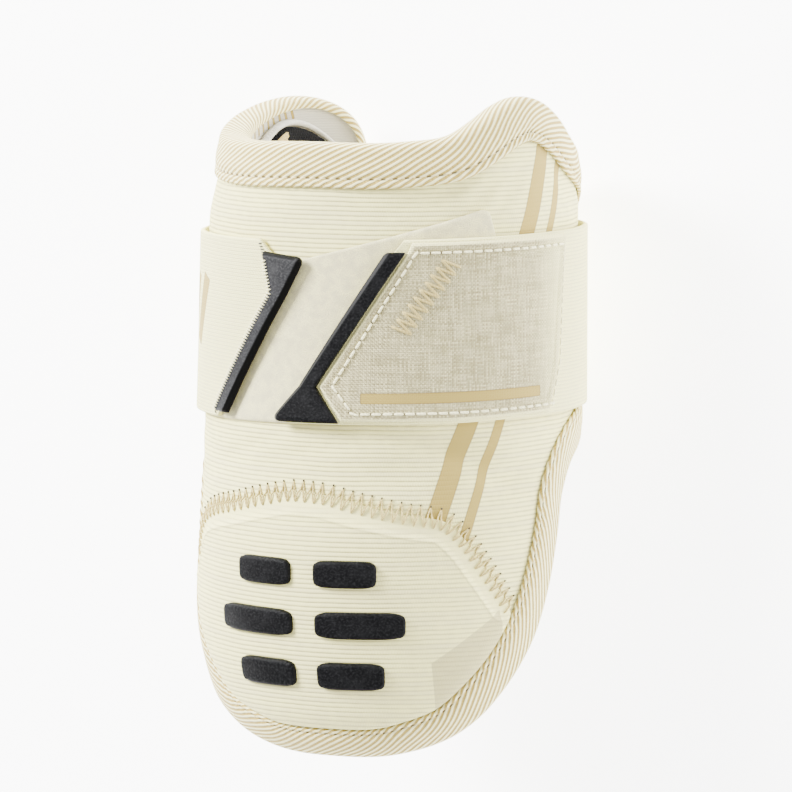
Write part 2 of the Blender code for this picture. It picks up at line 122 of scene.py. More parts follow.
# Finer creases in the knit alone, in the same columns with the depth in metres.
CREASES = (
    (47, 0.868, 38, 0.24, 0.045, 0.00095),
    (55, 0.850, 42, 0.20, 0.040, 0.00080),
    (36, 0.850, 24, 0.26, 0.050, 0.00065),
    (66, 0.860, 50, 0.20, 0.045, 0.00065),
    (-12, 0.858, -8, 0.30, 0.045, 0.00038),
    (30, 0.487, -16, 0.34, 0.045, 0.00080),
    (42, 0.476, -26, 0.30, 0.055, 0.00080),
    (52, 0.462, -38, 0.26, 0.070, 0.00055),
    (68, 0.430, 34, 0.28, 0.075, 0.00060),
    (8, 0.478, 12, 0.36, 0.050, 0.00055),
    (-20, 0.470, 20, 0.30, 0.045, 0.00050),
    (-48, 0.468, -14, 0.30, 0.050, 0.00055),
    (96, 0.860, -40, 0.24, 0.050, 0.00060),
    (-92, 0.860, 30, 0.26, 0.050, 0.00060),
)

# The shell's edge, counter-clockwise from the tip of the lobe: angle and height share.
RIM = np.array(
    [
        (6, 0.000), (32, 0.008), (50, 0.038), (62.5, 0.094), (72.5, 0.160),
        (82, 0.253), (87.5, 0.332), (91, 0.392), (98, 0.434), (108, 0.454),
        (120, 0.468), (133, 0.486), (141, 0.530), (143.5, 0.620), (143.5, 0.750),
        (140, 0.830), (130, 0.878), (116, 0.905), (103, 0.930), (91, 0.968),
        (83, 0.987), (75, 0.994), (66, 0.984), (57, 0.962), (48, 0.941),
        (32, 0.931), (0, 0.929), (-32, 0.926), (-50, 0.930), (-66, 0.942),
        (-85, 0.958), (-100, 0.969), (-112, 0.973), (-122, 0.968), (-131, 0.953),
        (-138, 0.926), (-142, 0.882), (-143.5, 0.800), (-143.5, 0.620), (-141, 0.530),
        (-133, 0.486), (-120, 0.468), (-103, 0.454), (-89, 0.434), (-80, 0.392),
        (-75.5, 0.332), (-70, 0.253), (-60.5, 0.160), (-50.5, 0.094), (-38, 0.038),
        (-20, 0.008),
    ]
)
# The rows of RIM at the shell's four corners: lower right, upper right, upper left, lower left.
RIM_CORNERS = (3, 15, 36, 48)
RIM_CELLS = 20

# The cap's upper seam, left to right: angle from CAP_MIDDLE and height share.
CAP_SEAM = np.array(
    [
        (-55.5, 0.285), (-51, 0.325), (-45, 0.355), (-38, 0.370), (-27, 0.383),
        (-12, 0.402), (-4, 0.409), (4, 0.407), (14, 0.395), (29, 0.378),
        (39, 0.369), (45.5, 0.342), (52, 0.298), (60.5, 0.238),
    ]
)
# Where the cap's lower edge starts and ends, as rows of RIM, counted on past its last row.
CAP_EDGE = (46.3, 55.3)

# Rows of bumpers on the cap: height share, and half the row's width as a share of RADIUS.
BUMPER_ROWS = ((0.290, 0.36), (0.212, 0.50), (0.134, 0.40))

# In the strap's tables a height is a share of STRAP_WIDTH from its lower edge, and an angle is
# in degrees. The loop panel, bottom to top: left angle and height, right angle and height.
LOOP_PANEL = (
    (-44, -0.010, 66, 0.010),
    (-24, 0.700, 64, 0.780),
    (-8, 0.855, 58, 1.155),
)
# The strap's two ends, bottom to top: height, angle of the right end, angle of the left end.
STRAP_ENDS = np.array(
    (
        (0.0, -3.5, -34.0),
        (0.2, 2.2, -23.5),
        (0.4, 9.0, -16.6),
        (0.6, 16.0, -9.8),
        (0.8, 22.8, -5.0),
        (1.0, 31.5, -14.0),
    )
)
STRAP_STRAIGHT = (42, 300)
STRAP_END_SHARE = 1 / 8
STRAP_CLIMB = (98, 84)
# The woven cover, the strip at its left end and the pull tab: left angle and height, right
# angle and height.
COVER = (
    (13.4, 0.015, 79.5, 0.020),
    (6.8, 0.205, 83.5, 0.220),
    (32.6, 0.940, 88.0, 0.940),
    (33.5, 0.985, 88.5, 0.985),
)
ANCHOR_STRIP = (
    (-8.8, 0.012, 12.6, 0.008),
    (0.6, 0.205, 5.9, 0.205),
    (25.9, 0.935, 31.7, 0.935),
)
PULL_TAB = (
    (-32.6, 0.040, -26.5, 0.030),
    (-9.0, 0.715, -3.6, 0.700),
    (-11.6, 0.935, 2.4, 0.905),
)
# The pad inside the left flap
PAD_MIDDLE = -103.0
PAD_HALF = 30.0
PAD_HEIGHTS = (0.560, 0.939)
PAD_ARCH = 0.15
PAD_TAB_ANGLE = -90.0

# The photograph's line of sight: degrees round from the cap's middle, degrees up along the arm,
# and the distance to the point looked at, which is a height on the arm's axis.
SIGHT_TURN = 28
SIGHT_RISE = 6.5
SIGHT_DISTANCE = 2.0
SIGHT_HEIGHT = 0.1197
SIGHT_ASIDE = 0.00124
LENS = 256.1

# Slopes are measured over this step, in radians or metres
SLOPE_STEP = 0.001
INSET_STEPS = 6
# The cover's stitches: how far they lie inside its edge, and from one to the next
STITCH_INSET = 0.0034
TOP_STITCH_PITCH = 0.0036
# From one stitch to the next along the cap's seam, the bartack and the tab's overlock, and
# half the bartack's width
ZIGZAG_PITCH = 0.00168
BARTACK_PITCH = 0.00155
BARTACK_HALF = 0.0034
OVERLOCK_PITCH = 0.00110


# ---- The pattern ----

# A pattern point times this is its place on the flat pattern, in metres.
FLAT = np.array([RADIUS, 1.0])


def spline(share, start, end, start_slope, end_slope):
    """A smooth curve from start to end, at a share of its way, with its slope at both."""
    rise = share * share * (3 - 2 * share)
    turn = start_slope * share * (1 - share) ** 2 - end_slope * share**2 * (1 - share)
    return start * (1 - rise) + end * rise + turn


def through(places, values, at):
    """A smooth curve through a table's values, which turns only where they do."""
    steps = np.diff(places)
    slopes = np.diff(values) / steps
    bends = np.concatenate([slopes[:1], np.zeros(len(slopes) - 1), slopes[-1:]])
    turns = slopes[:-1] * slopes[1:]
    sums = np.where(turns > 0, slopes[:-1] + slopes[1:], 1.0)
    bends[1:-1] = np.where(turns > 0, 2 * turns / sums, 0.0)
    row = np.clip(np.searchsorted(places, at) - 1, 0, len(steps) - 1)
    share = (at - places[row]) / steps[row]
    slopes = steps[row] * bends[row], steps[row] * bends[row + 1]
    return spline(share, values[row], values[row + 1], *slopes)


def strap_height(share, angle):
    """The height of a place across the strap, from its lower edge at 0 to its upper edge at 1."""
    middle = STRAP_HEIGHT * LENGTH + STRAP_RISE * np.sin(angle)
    return middle + (share - 0.5) * STRAP_WIDTH


def dips(table, angle, height):
    """The sum of a table's soft dips at a place on the pattern."""
    depth = 0.0
    for middle, share, lean, half_length, half_width, deep in table:
        across = (angle - math.radians(middle)) * RADIUS
        up = height - share * LENGTH
        turn = math.radians(lean)
        along = (across * math.cos(turn) + up * math.sin(turn)) / (half_length * RADIUS)
        aside = (up * math.cos(turn) - across * math.sin(turn)) / (half_width * RADIUS)
        depth = depth + deep * np.exp(-(along**2) - aside**2)
    return depth


def shell_face(angle, height):
    """Points on the shell's outer face, round the arm's axis. Angles are in radians."""
    left, right, front = (
        RADIUS * through(SECTIONS[:, 0], SECTIONS[:, column], height / LENGTH)
        for column in (1, 2, 3)
    )
    across = np.sin(angle)
    up = np.cos(angle)
    side = np.where(across < 0, left, right)
    top = np.where(up > 0, front, side)
    reach = 1 / np.sqrt((across / side) ** 2 + (up / top) ** 2)
    corner_depth = BACK_DEPTH - BACK_CORNER
    corner_out = np.sqrt(np.maximum((side - BACK_CORNER) ** 2 - corner_depth**2, 0.0))
    down = np.maximum(-up, 0.001)
    spread = np.where(up < 0, np.abs(across) / down, np.inf)
    facing = np.abs(across) * corner_out + down * corner_depth
    past_middle = facing**2 - corner_out**2 - corner_depth**2 + BACK_CORNER**2
    corner = facing + np.sqrt(np.maximum(past_middle, 0.0))
    reach = np.where(spread < corner_out / corner_depth, corner, reach)
    reach = np.where(spread < corner_out / BACK_DEPTH, BACK_DEPTH / down, reach)
    reach = reach - SHELL_WALL * dips(FOLDS, angle, height)
    return np.stack([reach * across, height + 0.0 * angle, reach * up], axis=-1)


def unit(vectors):
    return vectors / np.linalg.norm(vectors, axis=-1, keepdims=True)


def outward(angle, height):
    """The direction straight off the shell's outer face."""
    step = SLOPE_STEP
    turn = shell_face(angle + step, height) - shell_face(angle - step, height)
    rise = shell_face(angle, height + step * RADIUS) - shell_face(angle, height - step * RADIUS)
    return unit(np.cross(turn, rise))


def wrap(angle, height, lift):
    """Pattern points bent round the arm and lifted off the shell's outer face, in place."""
    angle, height, lift = np.broadcast_arrays(angle, height, lift)
    points = shell_face(angle, height) + lift[..., None] * outward(angle, height)
    return points + ARM_AXIS


def rim_curve():
    """The shell's edge as close pattern points, RIM_CELLS of them from each row to the next."""
    points = np.column_stack([np.radians(RIM[:, 0]) * RADIUS, RIM[:, 1] * LENGTH])
    after = np.roll(points, -1, axis=0)
    gaps = np.linalg.norm(after - points, axis=1, keepdims=True)
    gaps_before = np.roll(gaps, 1, axis=0)
    slopes = (after - points) / gaps
    bends = slopes * gaps_before + np.roll(slopes, 1, axis=0) * gaps
    bends = bends / (gaps + gaps_before)
    bends_after = np.roll(bends, -1, axis=0)
    share = (np.arange(RIM_CELLS) / RIM_CELLS)[None, :, None]
    slopes = (gaps[:, None] * bends[:, None], gaps[:, None] * bends_after[:, None])
    curve = spline(share, points[:, None], after[:, None], *slopes)
    curve = curve.reshape(-1, 2)
    return np.column_stack([curve[:, 0] / RADIUS, curve[:, 1]])


EDGE = rim_curve()


def travelled(points):
    """The distance walked to each point in a row of them."""
    steps = np.linalg.norm(np.diff(points, axis=0), axis=1)
    return np.concatenate([[0.0], np.cumsum(steps)])


def read_at(at, places, points):
    """Points read off between the places that a row of them has."""
    return np.column_stack([np.interp(at, places, column) for column in points.T])


def rim_run(first, last, shares):
    """Pattern points at shares of the way along the shell's edge, between two rows of RIM."""
    rows = np.arange(round(first * RIM_CELLS), round(last * RIM_CELLS) + 1)
    points = EDGE[rows % len(EDGE)]
    distance = travelled(points * FLAT)
    return read_at(np.asarray(shares) * distance[-1], distance, points)


def inset(points, tangents, distances):
    """Pattern points that lie these distances inside the edge, measured on the shell itself."""
    base = shell_face(points[:, 0], points[:, 1])
    turn = (shell_face(points[:, 0] + SLOPE_STEP, points[:, 1]) - base) / SLOPE_STEP
    rise = (shell_face(points[:, 0], points[:, 1] + SLOPE_STEP) - base) / SLOPE_STEP
    along = turn * tangents[:, :1] + rise * tangents[:, 1:]
    inward = unit(np.cross(np.cross(turn, rise), along))
    turn_share = np.sum(inward * turn, axis=1) / np.sum(turn * turn, axis=1)
    rise_share = np.sum(inward * rise, axis=1) / np.sum(rise * rise, axis=1)
    direction = np.column_stack([turn_share, rise_share])
    place = points.copy()
    for _ in range(INSET_STEPS):
        ahead = place + direction * SLOPE_STEP
        start = shell_face(place[:, 0], place[:, 1])
        end = shell_face(ahead[:, 0], ahead[:, 1])
        stretch = np.linalg.norm(end - start, axis=1, keepdims=True) / SLOPE_STEP
        place = place + direction * np.reshape(distances, (-1, 1)) / INSET_STEPS / stretch
    return place


def nearest(places, curve):
    """How far each flat place lies from the nearest point of a curve."""
    parts = np.array_split(places, max(len(places) // 2000, 1))
    gaps = [np.sum((part[:, None] - curve[None]) ** 2, axis=2).min(axis=1) for part in parts]
    return np.sqrt(np.concatenate(gaps))


def from_edge(angle, height):
    """How far places on the pattern lie inside the shell's edge, in metres."""
    places = np.column_stack([np.ravel(angle), np.ravel(height)]) * FLAT
    return np.reshape(nearest(places, EDGE[::2] * FLAT), np.shape(angle))


def knit_lift(angle, height):
    """The knit's creases, and how it swells just above and just below the strap."""
    share = (height - strap_height(0.0, angle)) / STRAP_WIDTH
    above = (share - 1) * STRAP_WIDTH
    below = -share * STRAP_WIDTH
    swell = 0.00035 * (bump_at(above, 0.008, 0.007) + bump_at(below, 0.008, 0.007))
    return swell - dips(CREASES, angle, height)


def bump_at(place, middle, width):
    return np.exp(-(((place - middle) / width) ** 2))


def eased(share, pull):
    """Even shares drawn in towards both ends, for a finer grid at a piece's edges."""
    return share - pull * np.sin(2 * np.pi * share) / (2 * np.pi)


def step_up(value):
    value = np.clip(value, 0.0, 1.0)
    return value * value * (3 - 2 * value)


def round_over(distance, radius):
    """A quarter-round profile: 0 at an edge, 1 from the radius inwards."""
    inwards = np.clip(distance / radius, 0.0, 1.0)
    return np.sqrt(np.maximum(1 - (1 - inwards) ** 2, 0.0))


# ---- Making pieces ----


def set_points(mesh, points):
    mesh.vertices.foreach_set("co", np.ascontiguousarray(points, np.float32).ravel())
    mesh.update()


def set_cloth(mesh, per_vertex):
    """Gives a mesh its own map, in metres, from one pair of numbers for each vertex."""
    corners = np.empty(len(mesh.loops), np.int32)
    mesh.loops.foreach_get("vertex_index", corners)
    layer = mesh.uv_layers.get("cloth") or mesh.uv_layers.new(name="cloth")
    layer.data.foreach_set("uv", np.ascontiguousarray(per_vertex[corners], np.float32).ravel())


def set_brim(mesh, per_vertex):
    """Gives a mesh its own number for each vertex, which its finish reads as "brim"."""
    layer = mesh.attributes.new("brim", "FLOAT", "POINT")
    layer.data.foreach_set("value", np.ascontiguousarray(per_vertex, np.float32))


def new_object(name, data):
    made = bpy.data.objects.new(name, data)
    bpy.context.scene.collection.objects.link(made)
    return made


def settle(piece, name, look, stands_for=()):
    """Names a piece, dresses it and hands it to the frame."""
    piece.name = name
    piece.data.name = name
    piece.data.materials.clear()
    piece.data.materials.append(look)
    piece.data.shade_smooth()
    piece.select_set(False)
    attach(piece, "root")
    if stands_for:
        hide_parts(*stands_for)
    return piece


def slab(name, cells, shape, look, stands_for):
    """A closed slab of cells. shape(u, v, out) gives each corner's angle, height and lift.

    The shares u and v run over the slab, and out is true on its outer face.
    shape may also give each corner's brim, a number that the finish reads.
    """
    bpy.ops.mesh.primitive_grid_add(x_subdivisions=cells[0], y_subdivisions=cells[1], size=2)
    piece = bpy.context.object
    bpy.ops.object.mode_set(mode="EDIT")
    bpy.ops.mesh.select_all(action="SELECT")
    bpy.ops.mesh.extrude_region_move(TRANSFORM_OT_translate={"value": (0, 0, 1)})
    bpy.ops.mesh.select_all(action="SELECT")
    bpy.ops.mesh.normals_make_consistent(inside=False)
    bpy.ops.object.mode_set(mode="OBJECT")
    mesh = piece.data
    flat = np.empty(len(mesh.vertices) * 3, np.float32)
    mesh.vertices.foreach_get("co", flat)
    flat = flat.reshape(-1, 3).astype(float)
    u, v = (flat[:, 0] + 1) / 2, (flat[:, 1] + 1) / 2
    angle, height, lift, *brim = shape(u, v, flat[:, 2] > 0.5)
    if brim:
        set_brim(mesh, brim[0])
    set_points(mesh, wrap(angle, height, lift))
    set_cloth(mesh, np.column_stack([angle * RADIUS, height]))
    return settle(piece, name, look, stands_for)


def ring_faces(around, across):
    """Quads over a grid of points that closes on itself both ways."""
    i, j = np.meshgrid(np.arange(around), np.arange(across), indexing="ij")
    after, beside = (i + 1) % around, (j + 1) % across
    corners = [i * across + j, i * across + beside, after * across + beside, after * across + j]
    return np.stack(corners, axis=-1).reshape(-1, 4)


def threads(name, starts, ends, lifts, look, thick, arch=0.0, bury=0.5, stations=8, sides=7):
    """Straight stitches laid on the cloth, one round thread for each, joined in one piece.

    starts and ends are pattern points in radians and metres. lifts is the stitches' seat, or
    gives it at a share of their way. arch lifts a thread's middle, and both its ends go down
    into the cloth, by bury times its thickness.
    """
    share = np.linspace(0.0, 1.0, stations)[None, :]
    place = starts[:, None] * (1 - share[..., None]) + ends[:, None] * share[..., None]
    middle = np.sin(np.pi * share)
    seat = lifts(share) if callable(lifts) else lifts
    seat = seat + thick * (0.45 - bury * (1 - np.minimum(middle * 3, 1.0))) + arch * middle
    points = wrap(place[..., 0], place[..., 1], seat)
    along = unit(np.gradient(points, axis=1))
    side = unit(np.cross(along, outward(place[..., 0], place[..., 1])))
    out = np.cross(side, along)
    turn = np.arange(sides) / sides * 2 * np.pi
    radius = (thick / 2 * np.minimum(0.55 + middle * 1.5, 1.0))[..., None, None]
    ring = side[:, :, None] * np.cos(turn)[:, None] + out[:, :, None] * np.sin(turn)[:, None]
    rings = points[:, :, None] + radius * ring
    count, each = len(starts), stations * sides
    tube = ring_faces(stations, sides)[: each - sides]
    quads = (tube[None] + np.arange(count)[:, None, None] * each).reshape(-1, 4)
    caps = [tuple(range(sides))[::-1], tuple(range(each - sides, each))]
    end_faces = [tuple(c + n * each for c in cap) for n in range(count) for cap in caps]
    mesh = bpy.data.meshes.new(name)
    mesh.from_pydata(rings.reshape(-1, 3).tolist(), [], quads.tolist() + end_faces)
    length = np.linalg.norm(points[:, -1] - points[:, 0], axis=-1)
    run = np.broadcast_to((share * length[:, None])[..., None], (count, stations, sides))
    circle = np.broadcast_to(turn / 2 * thick, run.shape)
    set_cloth(mesh, np.stack([run, circle], axis=-1).reshape(-1, 2))
    settle(new_object(name, mesh), name, look)


def polyline(corners):
    """Close pattern points along straight lines from corner to corner."""
    share = np.linspace(0, 1, 80, endpoint=False)[:, None]
    runs = [here + (after - here) * share for here, after in zip(corners, corners[1:])]
    return np.vstack([*runs, corners[-1:]])


def curve_places(curve, pitch, offset):
    """Even places along a curve of pattern points, as a function that gives them all.

    The function moves them, in metres, ahead along the curve and aside to its left.
    """
    flat = curve * FLAT
    distance = travelled(flat)
    at = offset + np.arange(int((distance[-1] - offset) / pitch) + 1) * pitch
    place = read_at(at, distance, flat)
    after, before = (read_at(at + step, distance, flat) for step in (SLOPE_STEP, -SLOPE_STEP))
    along = unit(after - before)
    left = np.column_stack([-along[:, 1], along[:, 0]])
    return lambda ahead=0.0, aside=0.0: (place + along * ahead + left * aside) / FLAT


# The grid of a thread too short to show its bend
SHORT = {"stations": 5, "sides": 6}


def zigzag(one, two):
    """The starts and ends of stitches that run to and fro between two rows of points."""
    even = (np.arange(len(one) - 1) % 2 == 0)[:, None]
    return np.where(even, one[:-1], two[:-1]), np.where(even, two[1:], one[1:]), even


# ---- Node trees ----


class Nodes:
    """Adds nodes to one tree. A socket is given a plain value or another node's output."""

    def __init__(self, tree):
        self.tree = tree

    def feed(self, socket, value):
        if isinstance(value, bpy.types.NodeSocket):
            self.tree.links.new(value, socket)
        else:
            socket.default_value = value

    def add(self, kind, inputs=(), **settings):
        node = self.tree.nodes.new("ShaderNode" + kind)
        for key, value in settings.items():
            setattr(node, key, value)
        for place, value in dict(inputs).items():
            self.feed(node.inputs[place], value)
        return node

    def math(self, operation, *values):
        return self.add("Math", enumerate(values), operation=operation).outputs[0]

    def mul(self, value, factor):
        return self.math("MULTIPLY", value, factor)

    def mul_add(self, value, factor, other):
        return self.math("MULTIPLY_ADD", value, factor, other)

    def sub(self, value, other):
        return self.math("SUBTRACT", value, other)

    def ripple(self, value):
        """Round crests from 0 to 1, one for each whole step of the value."""
        return self.math("ABSOLUTE", self.math("SINE", self.mul(value, math.pi)))

    def hollow(self, crest, power):
        """What lies between crests, drawn in by a power."""
        return self.math("POWER", self.sub(1.0, crest), power)

    def split(self, vector):
        return self.add("SeparateXYZ", {0: vector}).outputs[:2]

    def pair(self, first, second):
        return self.add("CombineXYZ", {0: first, 1: second}).outputs[0]

    def noise(self, vector, scale, detail=2.0, roughness=0.5):
        settings = {"Vector": vector, "Scale": scale, "Detail": detail, "Roughness": roughness}
        return self.add("TexNoise", settings, noise_dimensions="3D").outputs[0]

    def chance(self, number):
        """A random share for each whole number."""
        return self.add("TexWhiteNoise", {"W": number}, noise_dimensions="1D").outputs["Value"]

    def span(self, value, low, high, to_low=0.0, to_high=1.0):
        """A value carried from one span to another and held inside it."""
        places = {0: value, 1: low, 2: high, 3: to_low, 4: to_high}
        return self.add("MapRange", places, clamp=True, interpolation_type="SMOOTHSTEP").outputs[0]

    def mix(self, share, first, second):
        node = self.add("Mix", {0: share}, data_type="RGBA")
        for place, colour in ((6, first), (7, second)):
            self.feed(node.inputs[place], (*colour, 1.0) if isinstance(colour, tuple) else colour)
        return node.outputs[2]

    def brim(self):
        return self.add("Attribute", attribute_name="brim").outputs["Fac"]

    def place(self, group, **inputs):
        """Places a shared effect and gives its outputs by name."""
        node = self.add("Group")
        node.node_tree = group
        for label, value in inputs.items():
            self.feed(node.inputs[label], value)
        return node.outputs


def effect(name, build, outputs, **inputs):
    """A shared effect on a piece's map: a node group whose outputs build() makes."""
    tree = bpy.data.node_groups.new(name, "ShaderNodeTree")
    tree.interface.new_socket(name="Cloth", in_out="INPUT", socket_type="NodeSocketVector")
    for label, value in inputs.items():
        socket = tree.interface.new_socket(
            name=label, in_out="INPUT", socket_type="NodeSocketFloat"
        )
        socket.default_value = value
    for label in outputs:
        tree.interface.new_socket(name=label, in_out="OUTPUT", socket_type="NodeSocketFloat")
    nodes = Nodes(tree)
    made = build(nodes, tree.nodes.new("NodeGroupInput").outputs)
    result = tree.nodes.new("NodeGroupOutput")
    for label, value in zip(outputs, made):
        nodes.feed(result.inputs[label], value)
    return tree


def build_ribs(n, given):
    """Rows of knit ribs: how high the rib stands, how deep its groove is for painted shade, and its
    own tone.
    """
    along, up = n.split(given["Cloth"])
    drift = n.sub(n.noise(given["Cloth"], 28.0), 0.5)
    up = n.mul_add(drift, 0.0011, up)
    row = n.math("DIVIDE", up, given["Pitch"])
    number = n.math("FLOOR", row)
    crest = n.ripple(row)
    column = n.mul_add(number, 0.5, n.math("DIVIDE", along, given["Wale"]))
    loop = n.ripple(column)
    streak = n.noise(n.pair(n.mul(along, 240.0), n.mul(number, 7.31)), 1.0)
    tall = n.mul(n.math("POWER", crest, 0.6), 0.8)
    height = n.mul_add(loop, 0.2, tall)
    hollow = n.hollow(crest, 1.3)
    groove = n.mul(hollow, n.span(streak, 0.25, 0.7, 0.45, 1.0))
    tone = n.mul_add(n.chance(number), 0.5, n.mul(streak, 0.5))
    return height, groove, tone


def build_weave(n, given):
    """Plain weave: the threads' height, the gaps between them for painted shade, and each thread's
    tone.
    """
    along, up = n.split(given["Cloth"])
    warp = n.math("DIVIDE", along, given["Thread"])
    weft = n.math("DIVIDE", up, given["Thread"])
    warp_number, weft_number = n.math("FLOOR", warp), n.math("FLOOR", weft)
    over = n.ripple(warp)
    under = n.ripple(weft)
    side = n.math("FLOORED_MODULO", n.math("ADD", warp_number, weft_number), 2.0)
    turned = n.sub(1.0, side)
    height = n.math("ADD", n.mul(over, side), n.mul(under, turned))
    gap = n.mul(n.sub(1.0, over), n.sub(1.0, under))
    warp_run = n.noise(n.pair(n.mul(warp_number, 3.7), n.mul(up, 90.0)), 1.0)
    weft_run = n.noise(n.pair(n.mul(along, 90.0), n.mul(weft_number, 5.3)), 1.0)
    tone = n.math("ADD", n.mul(warp_run, side), n.mul(weft_run, turned))
    return height, n.math("POWER", gap, 1.5), tone


def build_bar(n, given):
    """A flat printed bar: 1 on it, and a rim that is 1 on its edge.

    Its ends are cut at their own lean, so that it can be a bar or a parallelogram.
    """
    along, up = n.split(given["Cloth"])
    across = n.sub(along, given["Along"])
    above = n.sub(up, given["Up"])
    turn = n.math("RADIANS", given["Turn"])
    cosine, sine = n.math("COSINE", turn), n.math("SINE", turn)
    run = n.math("ADD", n.mul(across, cosine), n.mul(above, sine))
    rise = n.sub(n.mul(above, cosine), n.mul(across, sine))
    run = n.mul_add(rise, given["Lean"], run)
    past_end = n.sub(n.math("ABSOLUTE", run), given["Half_length"])
    past_side = n.sub(n.math("ABSOLUTE", rise), given["Half_width"])
    past = n.math("SMOOTH_MAX", past_end, past_side, 0.0008)
    mask = n.span(past, 0.00008, -0.00008)
    rim = n.sub(1.0, n.span(n.math("ABSOLUTE", past), 0.00008, 0.00034))
    return mask, rim


def build_twist(n, given):
    """The plies of a sewing thread, from its length and the way round it."""
    along, around = n.split(given["Cloth"])
    turns = n.math("DIVIDE", along, given["Lay"])
    phase = n.mul_add(around, given["Round"], turns)
    ply = n.ripple(phase)
    return ply, n.hollow(ply, 2.0)


def build_fuzz(n, given):
    """Slow blotches and fine fuzz, which no cloth is without."""
    blotch = n.noise(given["Cloth"], given["Blotch"], 3.0, 0.55)
    fine = n.noise(given["Cloth"], given["Fine"], 2.0, 0.7)
    return blotch, fine


ribbed = effect("knit_ribs", build_ribs, ("Height", "Groove", "Tone"), Pitch=0.0016, Wale=0.0009)
woven = effect("plain_weave", build_weave, ("Height", "Gap", "Tone"), Thread=0.0006)
bar_inputs = dict.fromkeys(("Along", "Up", "Turn", "Half_length", "Half_width", "Lean"), 0.0)
bar = effect("printed_bar", build_bar, ("Mask", "Rim"), **bar_inputs)
twisted = effect("thread_plies", build_twist, ("Height", "Groove"), Lay=0.0012, Round=800.0)
fuzzy = effect("cloth_fuzz", build_fuzz, ("Blotch", "Fine"), Blotch=40.0, Fine=1800.0)


# ---- Finishes ----

CREAM = (0.96, 0.90, 0.38)
CREAM_SHADE = (0.36, 0.32, 0.14)
TAN = (0.385, 0.285, 0.07)
TAN_LOW = (0.16, 0.10, 0.025)
# How far inside the shell's edge the tape's seam runs, at the lobe and at the cuff
SEAM_INSETS = (0.0118, 0.0103)
# From rib to rib on the elastic and the cover, and from cord to cord of the tape
RIB_ROW = 0.00125
TWILL_PITCH = 0.00178
TWILL_LEAN = math.radians(28)
# One stitch of the tape's seam for each cord that ends on its inner edge
SEAM_PITCH = TWILL_PITCH / math.sin(TWILL_LEAN)
# The two printed stripes: the angle and the height of each one's middle, and its width
STRIPES = ((62.5, 0.150, 0.0070), (73.5, 0.150, 0.0036))
# The line that the lining's dashes follow: angles and height shares
DASH_ANGLES = np.array([-110.0, -100.0, -94.0, -86.0, -78.0, -70.0, -60.0])
DASH_HEIGHTS = np.array([0.959, 0.956, 0.950, 0.942, 0.933, 0.926, 0.918])


def finish(name, roughness, sheen, specular):
    """A new finish's nodes, with its look and its shader, and the piece's own map."""
    look = bpy.data.materials.new(name)
    look.use_nodes = True
    n = Nodes(look.node_tree)
    n.look, n.shader = look, look.node_tree.nodes["Principled BSDF"]
    given = {"Roughness": roughness, "Sheen Weight": sheen, "Sheen Roughness": 0.5}
    for label, value in {**given, "Specular IOR Level": specular}.items():
        n.shader.inputs[label].default_value = value
    return n, n.add("UVMap", uv_map="cloth").outputs[0]


def dress(n, colour, height, depth):
    """Gives a finish its colour and its relief, and hands back the look."""
    bump = n.add("Bump", {"Height": height, "Distance": depth, "Strength": 1.0})
    n.feed(n.shader.inputs["Normal"], bump.outputs[0])
    n.feed(n.shader.inputs["Base Color"], colour)
    return n.look


def print_over(n, cloth, colour, height, bars):
    """Prints tan bars over a cloth: each fills the cloth's grooves and darkens at its edge."""
    for settings in bars:
        printed = n.place(bar, Cloth=cloth, **settings)
        colour = n.mix(printed["Mask"], colour, TAN)
        colour = n.mix(n.mul(printed["Rim"], 0.55), colour, TAN_LOW)
        raised = n.mul_add(height, 0.35, 0.75)
        height = n.add("Mix", {0: printed["Mask"], 2: height, 3: raised}).outputs[0]
    return colour, height


def knit_finish(name, bars=(), patch=None):
    n, cloth = finish(name, 0.92, sheen=0.12, specular=0.2)
    ribs = n.place(ribbed, Cloth=cloth, Pitch=0.0016, Wale=0.0009)
    fuzz = n.place(fuzzy, Cloth=cloth)
    depth = 0.78
    ridge = 0.0
    if patch:
        # The brim of the cap is its distance from the seam: the hem there is pulled smooth, with
        # less painted shade in its grooves, up to the fine ridge where the padding starts.
        brim = n.brim()
        depth = n.span(brim, 0.0040, 0.0078, 0.14, 0.70)
        ridge = n.span(n.math("ABSOLUTE", n.sub(brim, 0.0081)), 0.0, 0.0006, 0.4, 0.0)
    # Painted shade: the grooves between the ribs are darkened, as far as depth says.
    colour = n.mix(n.mul(ribs["Groove"], depth), CREAM, CREAM_SHADE)
    colour = n.mix(n.span(ribs["Tone"], 0.35, 0.75, 0.0, 0.30), colour, (0.68, 0.61, 0.36))
    colour = n.mix(n.span(fuzz["Blotch"], 0.4, 0.7, 0.0, 0.12), colour, (0.66, 0.60, 0.38))
    # Painted shade: a dark line along the cap's fine ridge.
    colour = n.mix(ridge, colour, CREAM_SHADE)
    height = n.mul_add(fuzz["Fine"], 0.12, ribs["Height"])
    if patch:
        height = n.mul(height, n.span(brim, 0.0040, 0.0078, 0.3, 1.0))
        tonal = n.place(bar, Cloth=cloth, **patch)
        colour = n.mix(n.mul(tonal["Mask"], 0.66), colour, (0.45, 0.395, 0.20))
    colour, height = print_over(n, cloth, colour, height, bars)
    return dress(n, colour, height, depth=0.00034)


def arc(angle):
    """The way round the pattern, in metres, that an angle in degrees makes."""
    return math.radians(angle) * RADIUS


def band(angle, height, turn, length, width, lean=0.0):
    """A printed bar's settings from its middle on the pattern, in degrees and metres."""
    half = {"Half_length": length / 2, "Half_width": width / 2}
    return {"Along": arc(angle), "Up": height, "Turn": turn, "Lean": lean, **half}


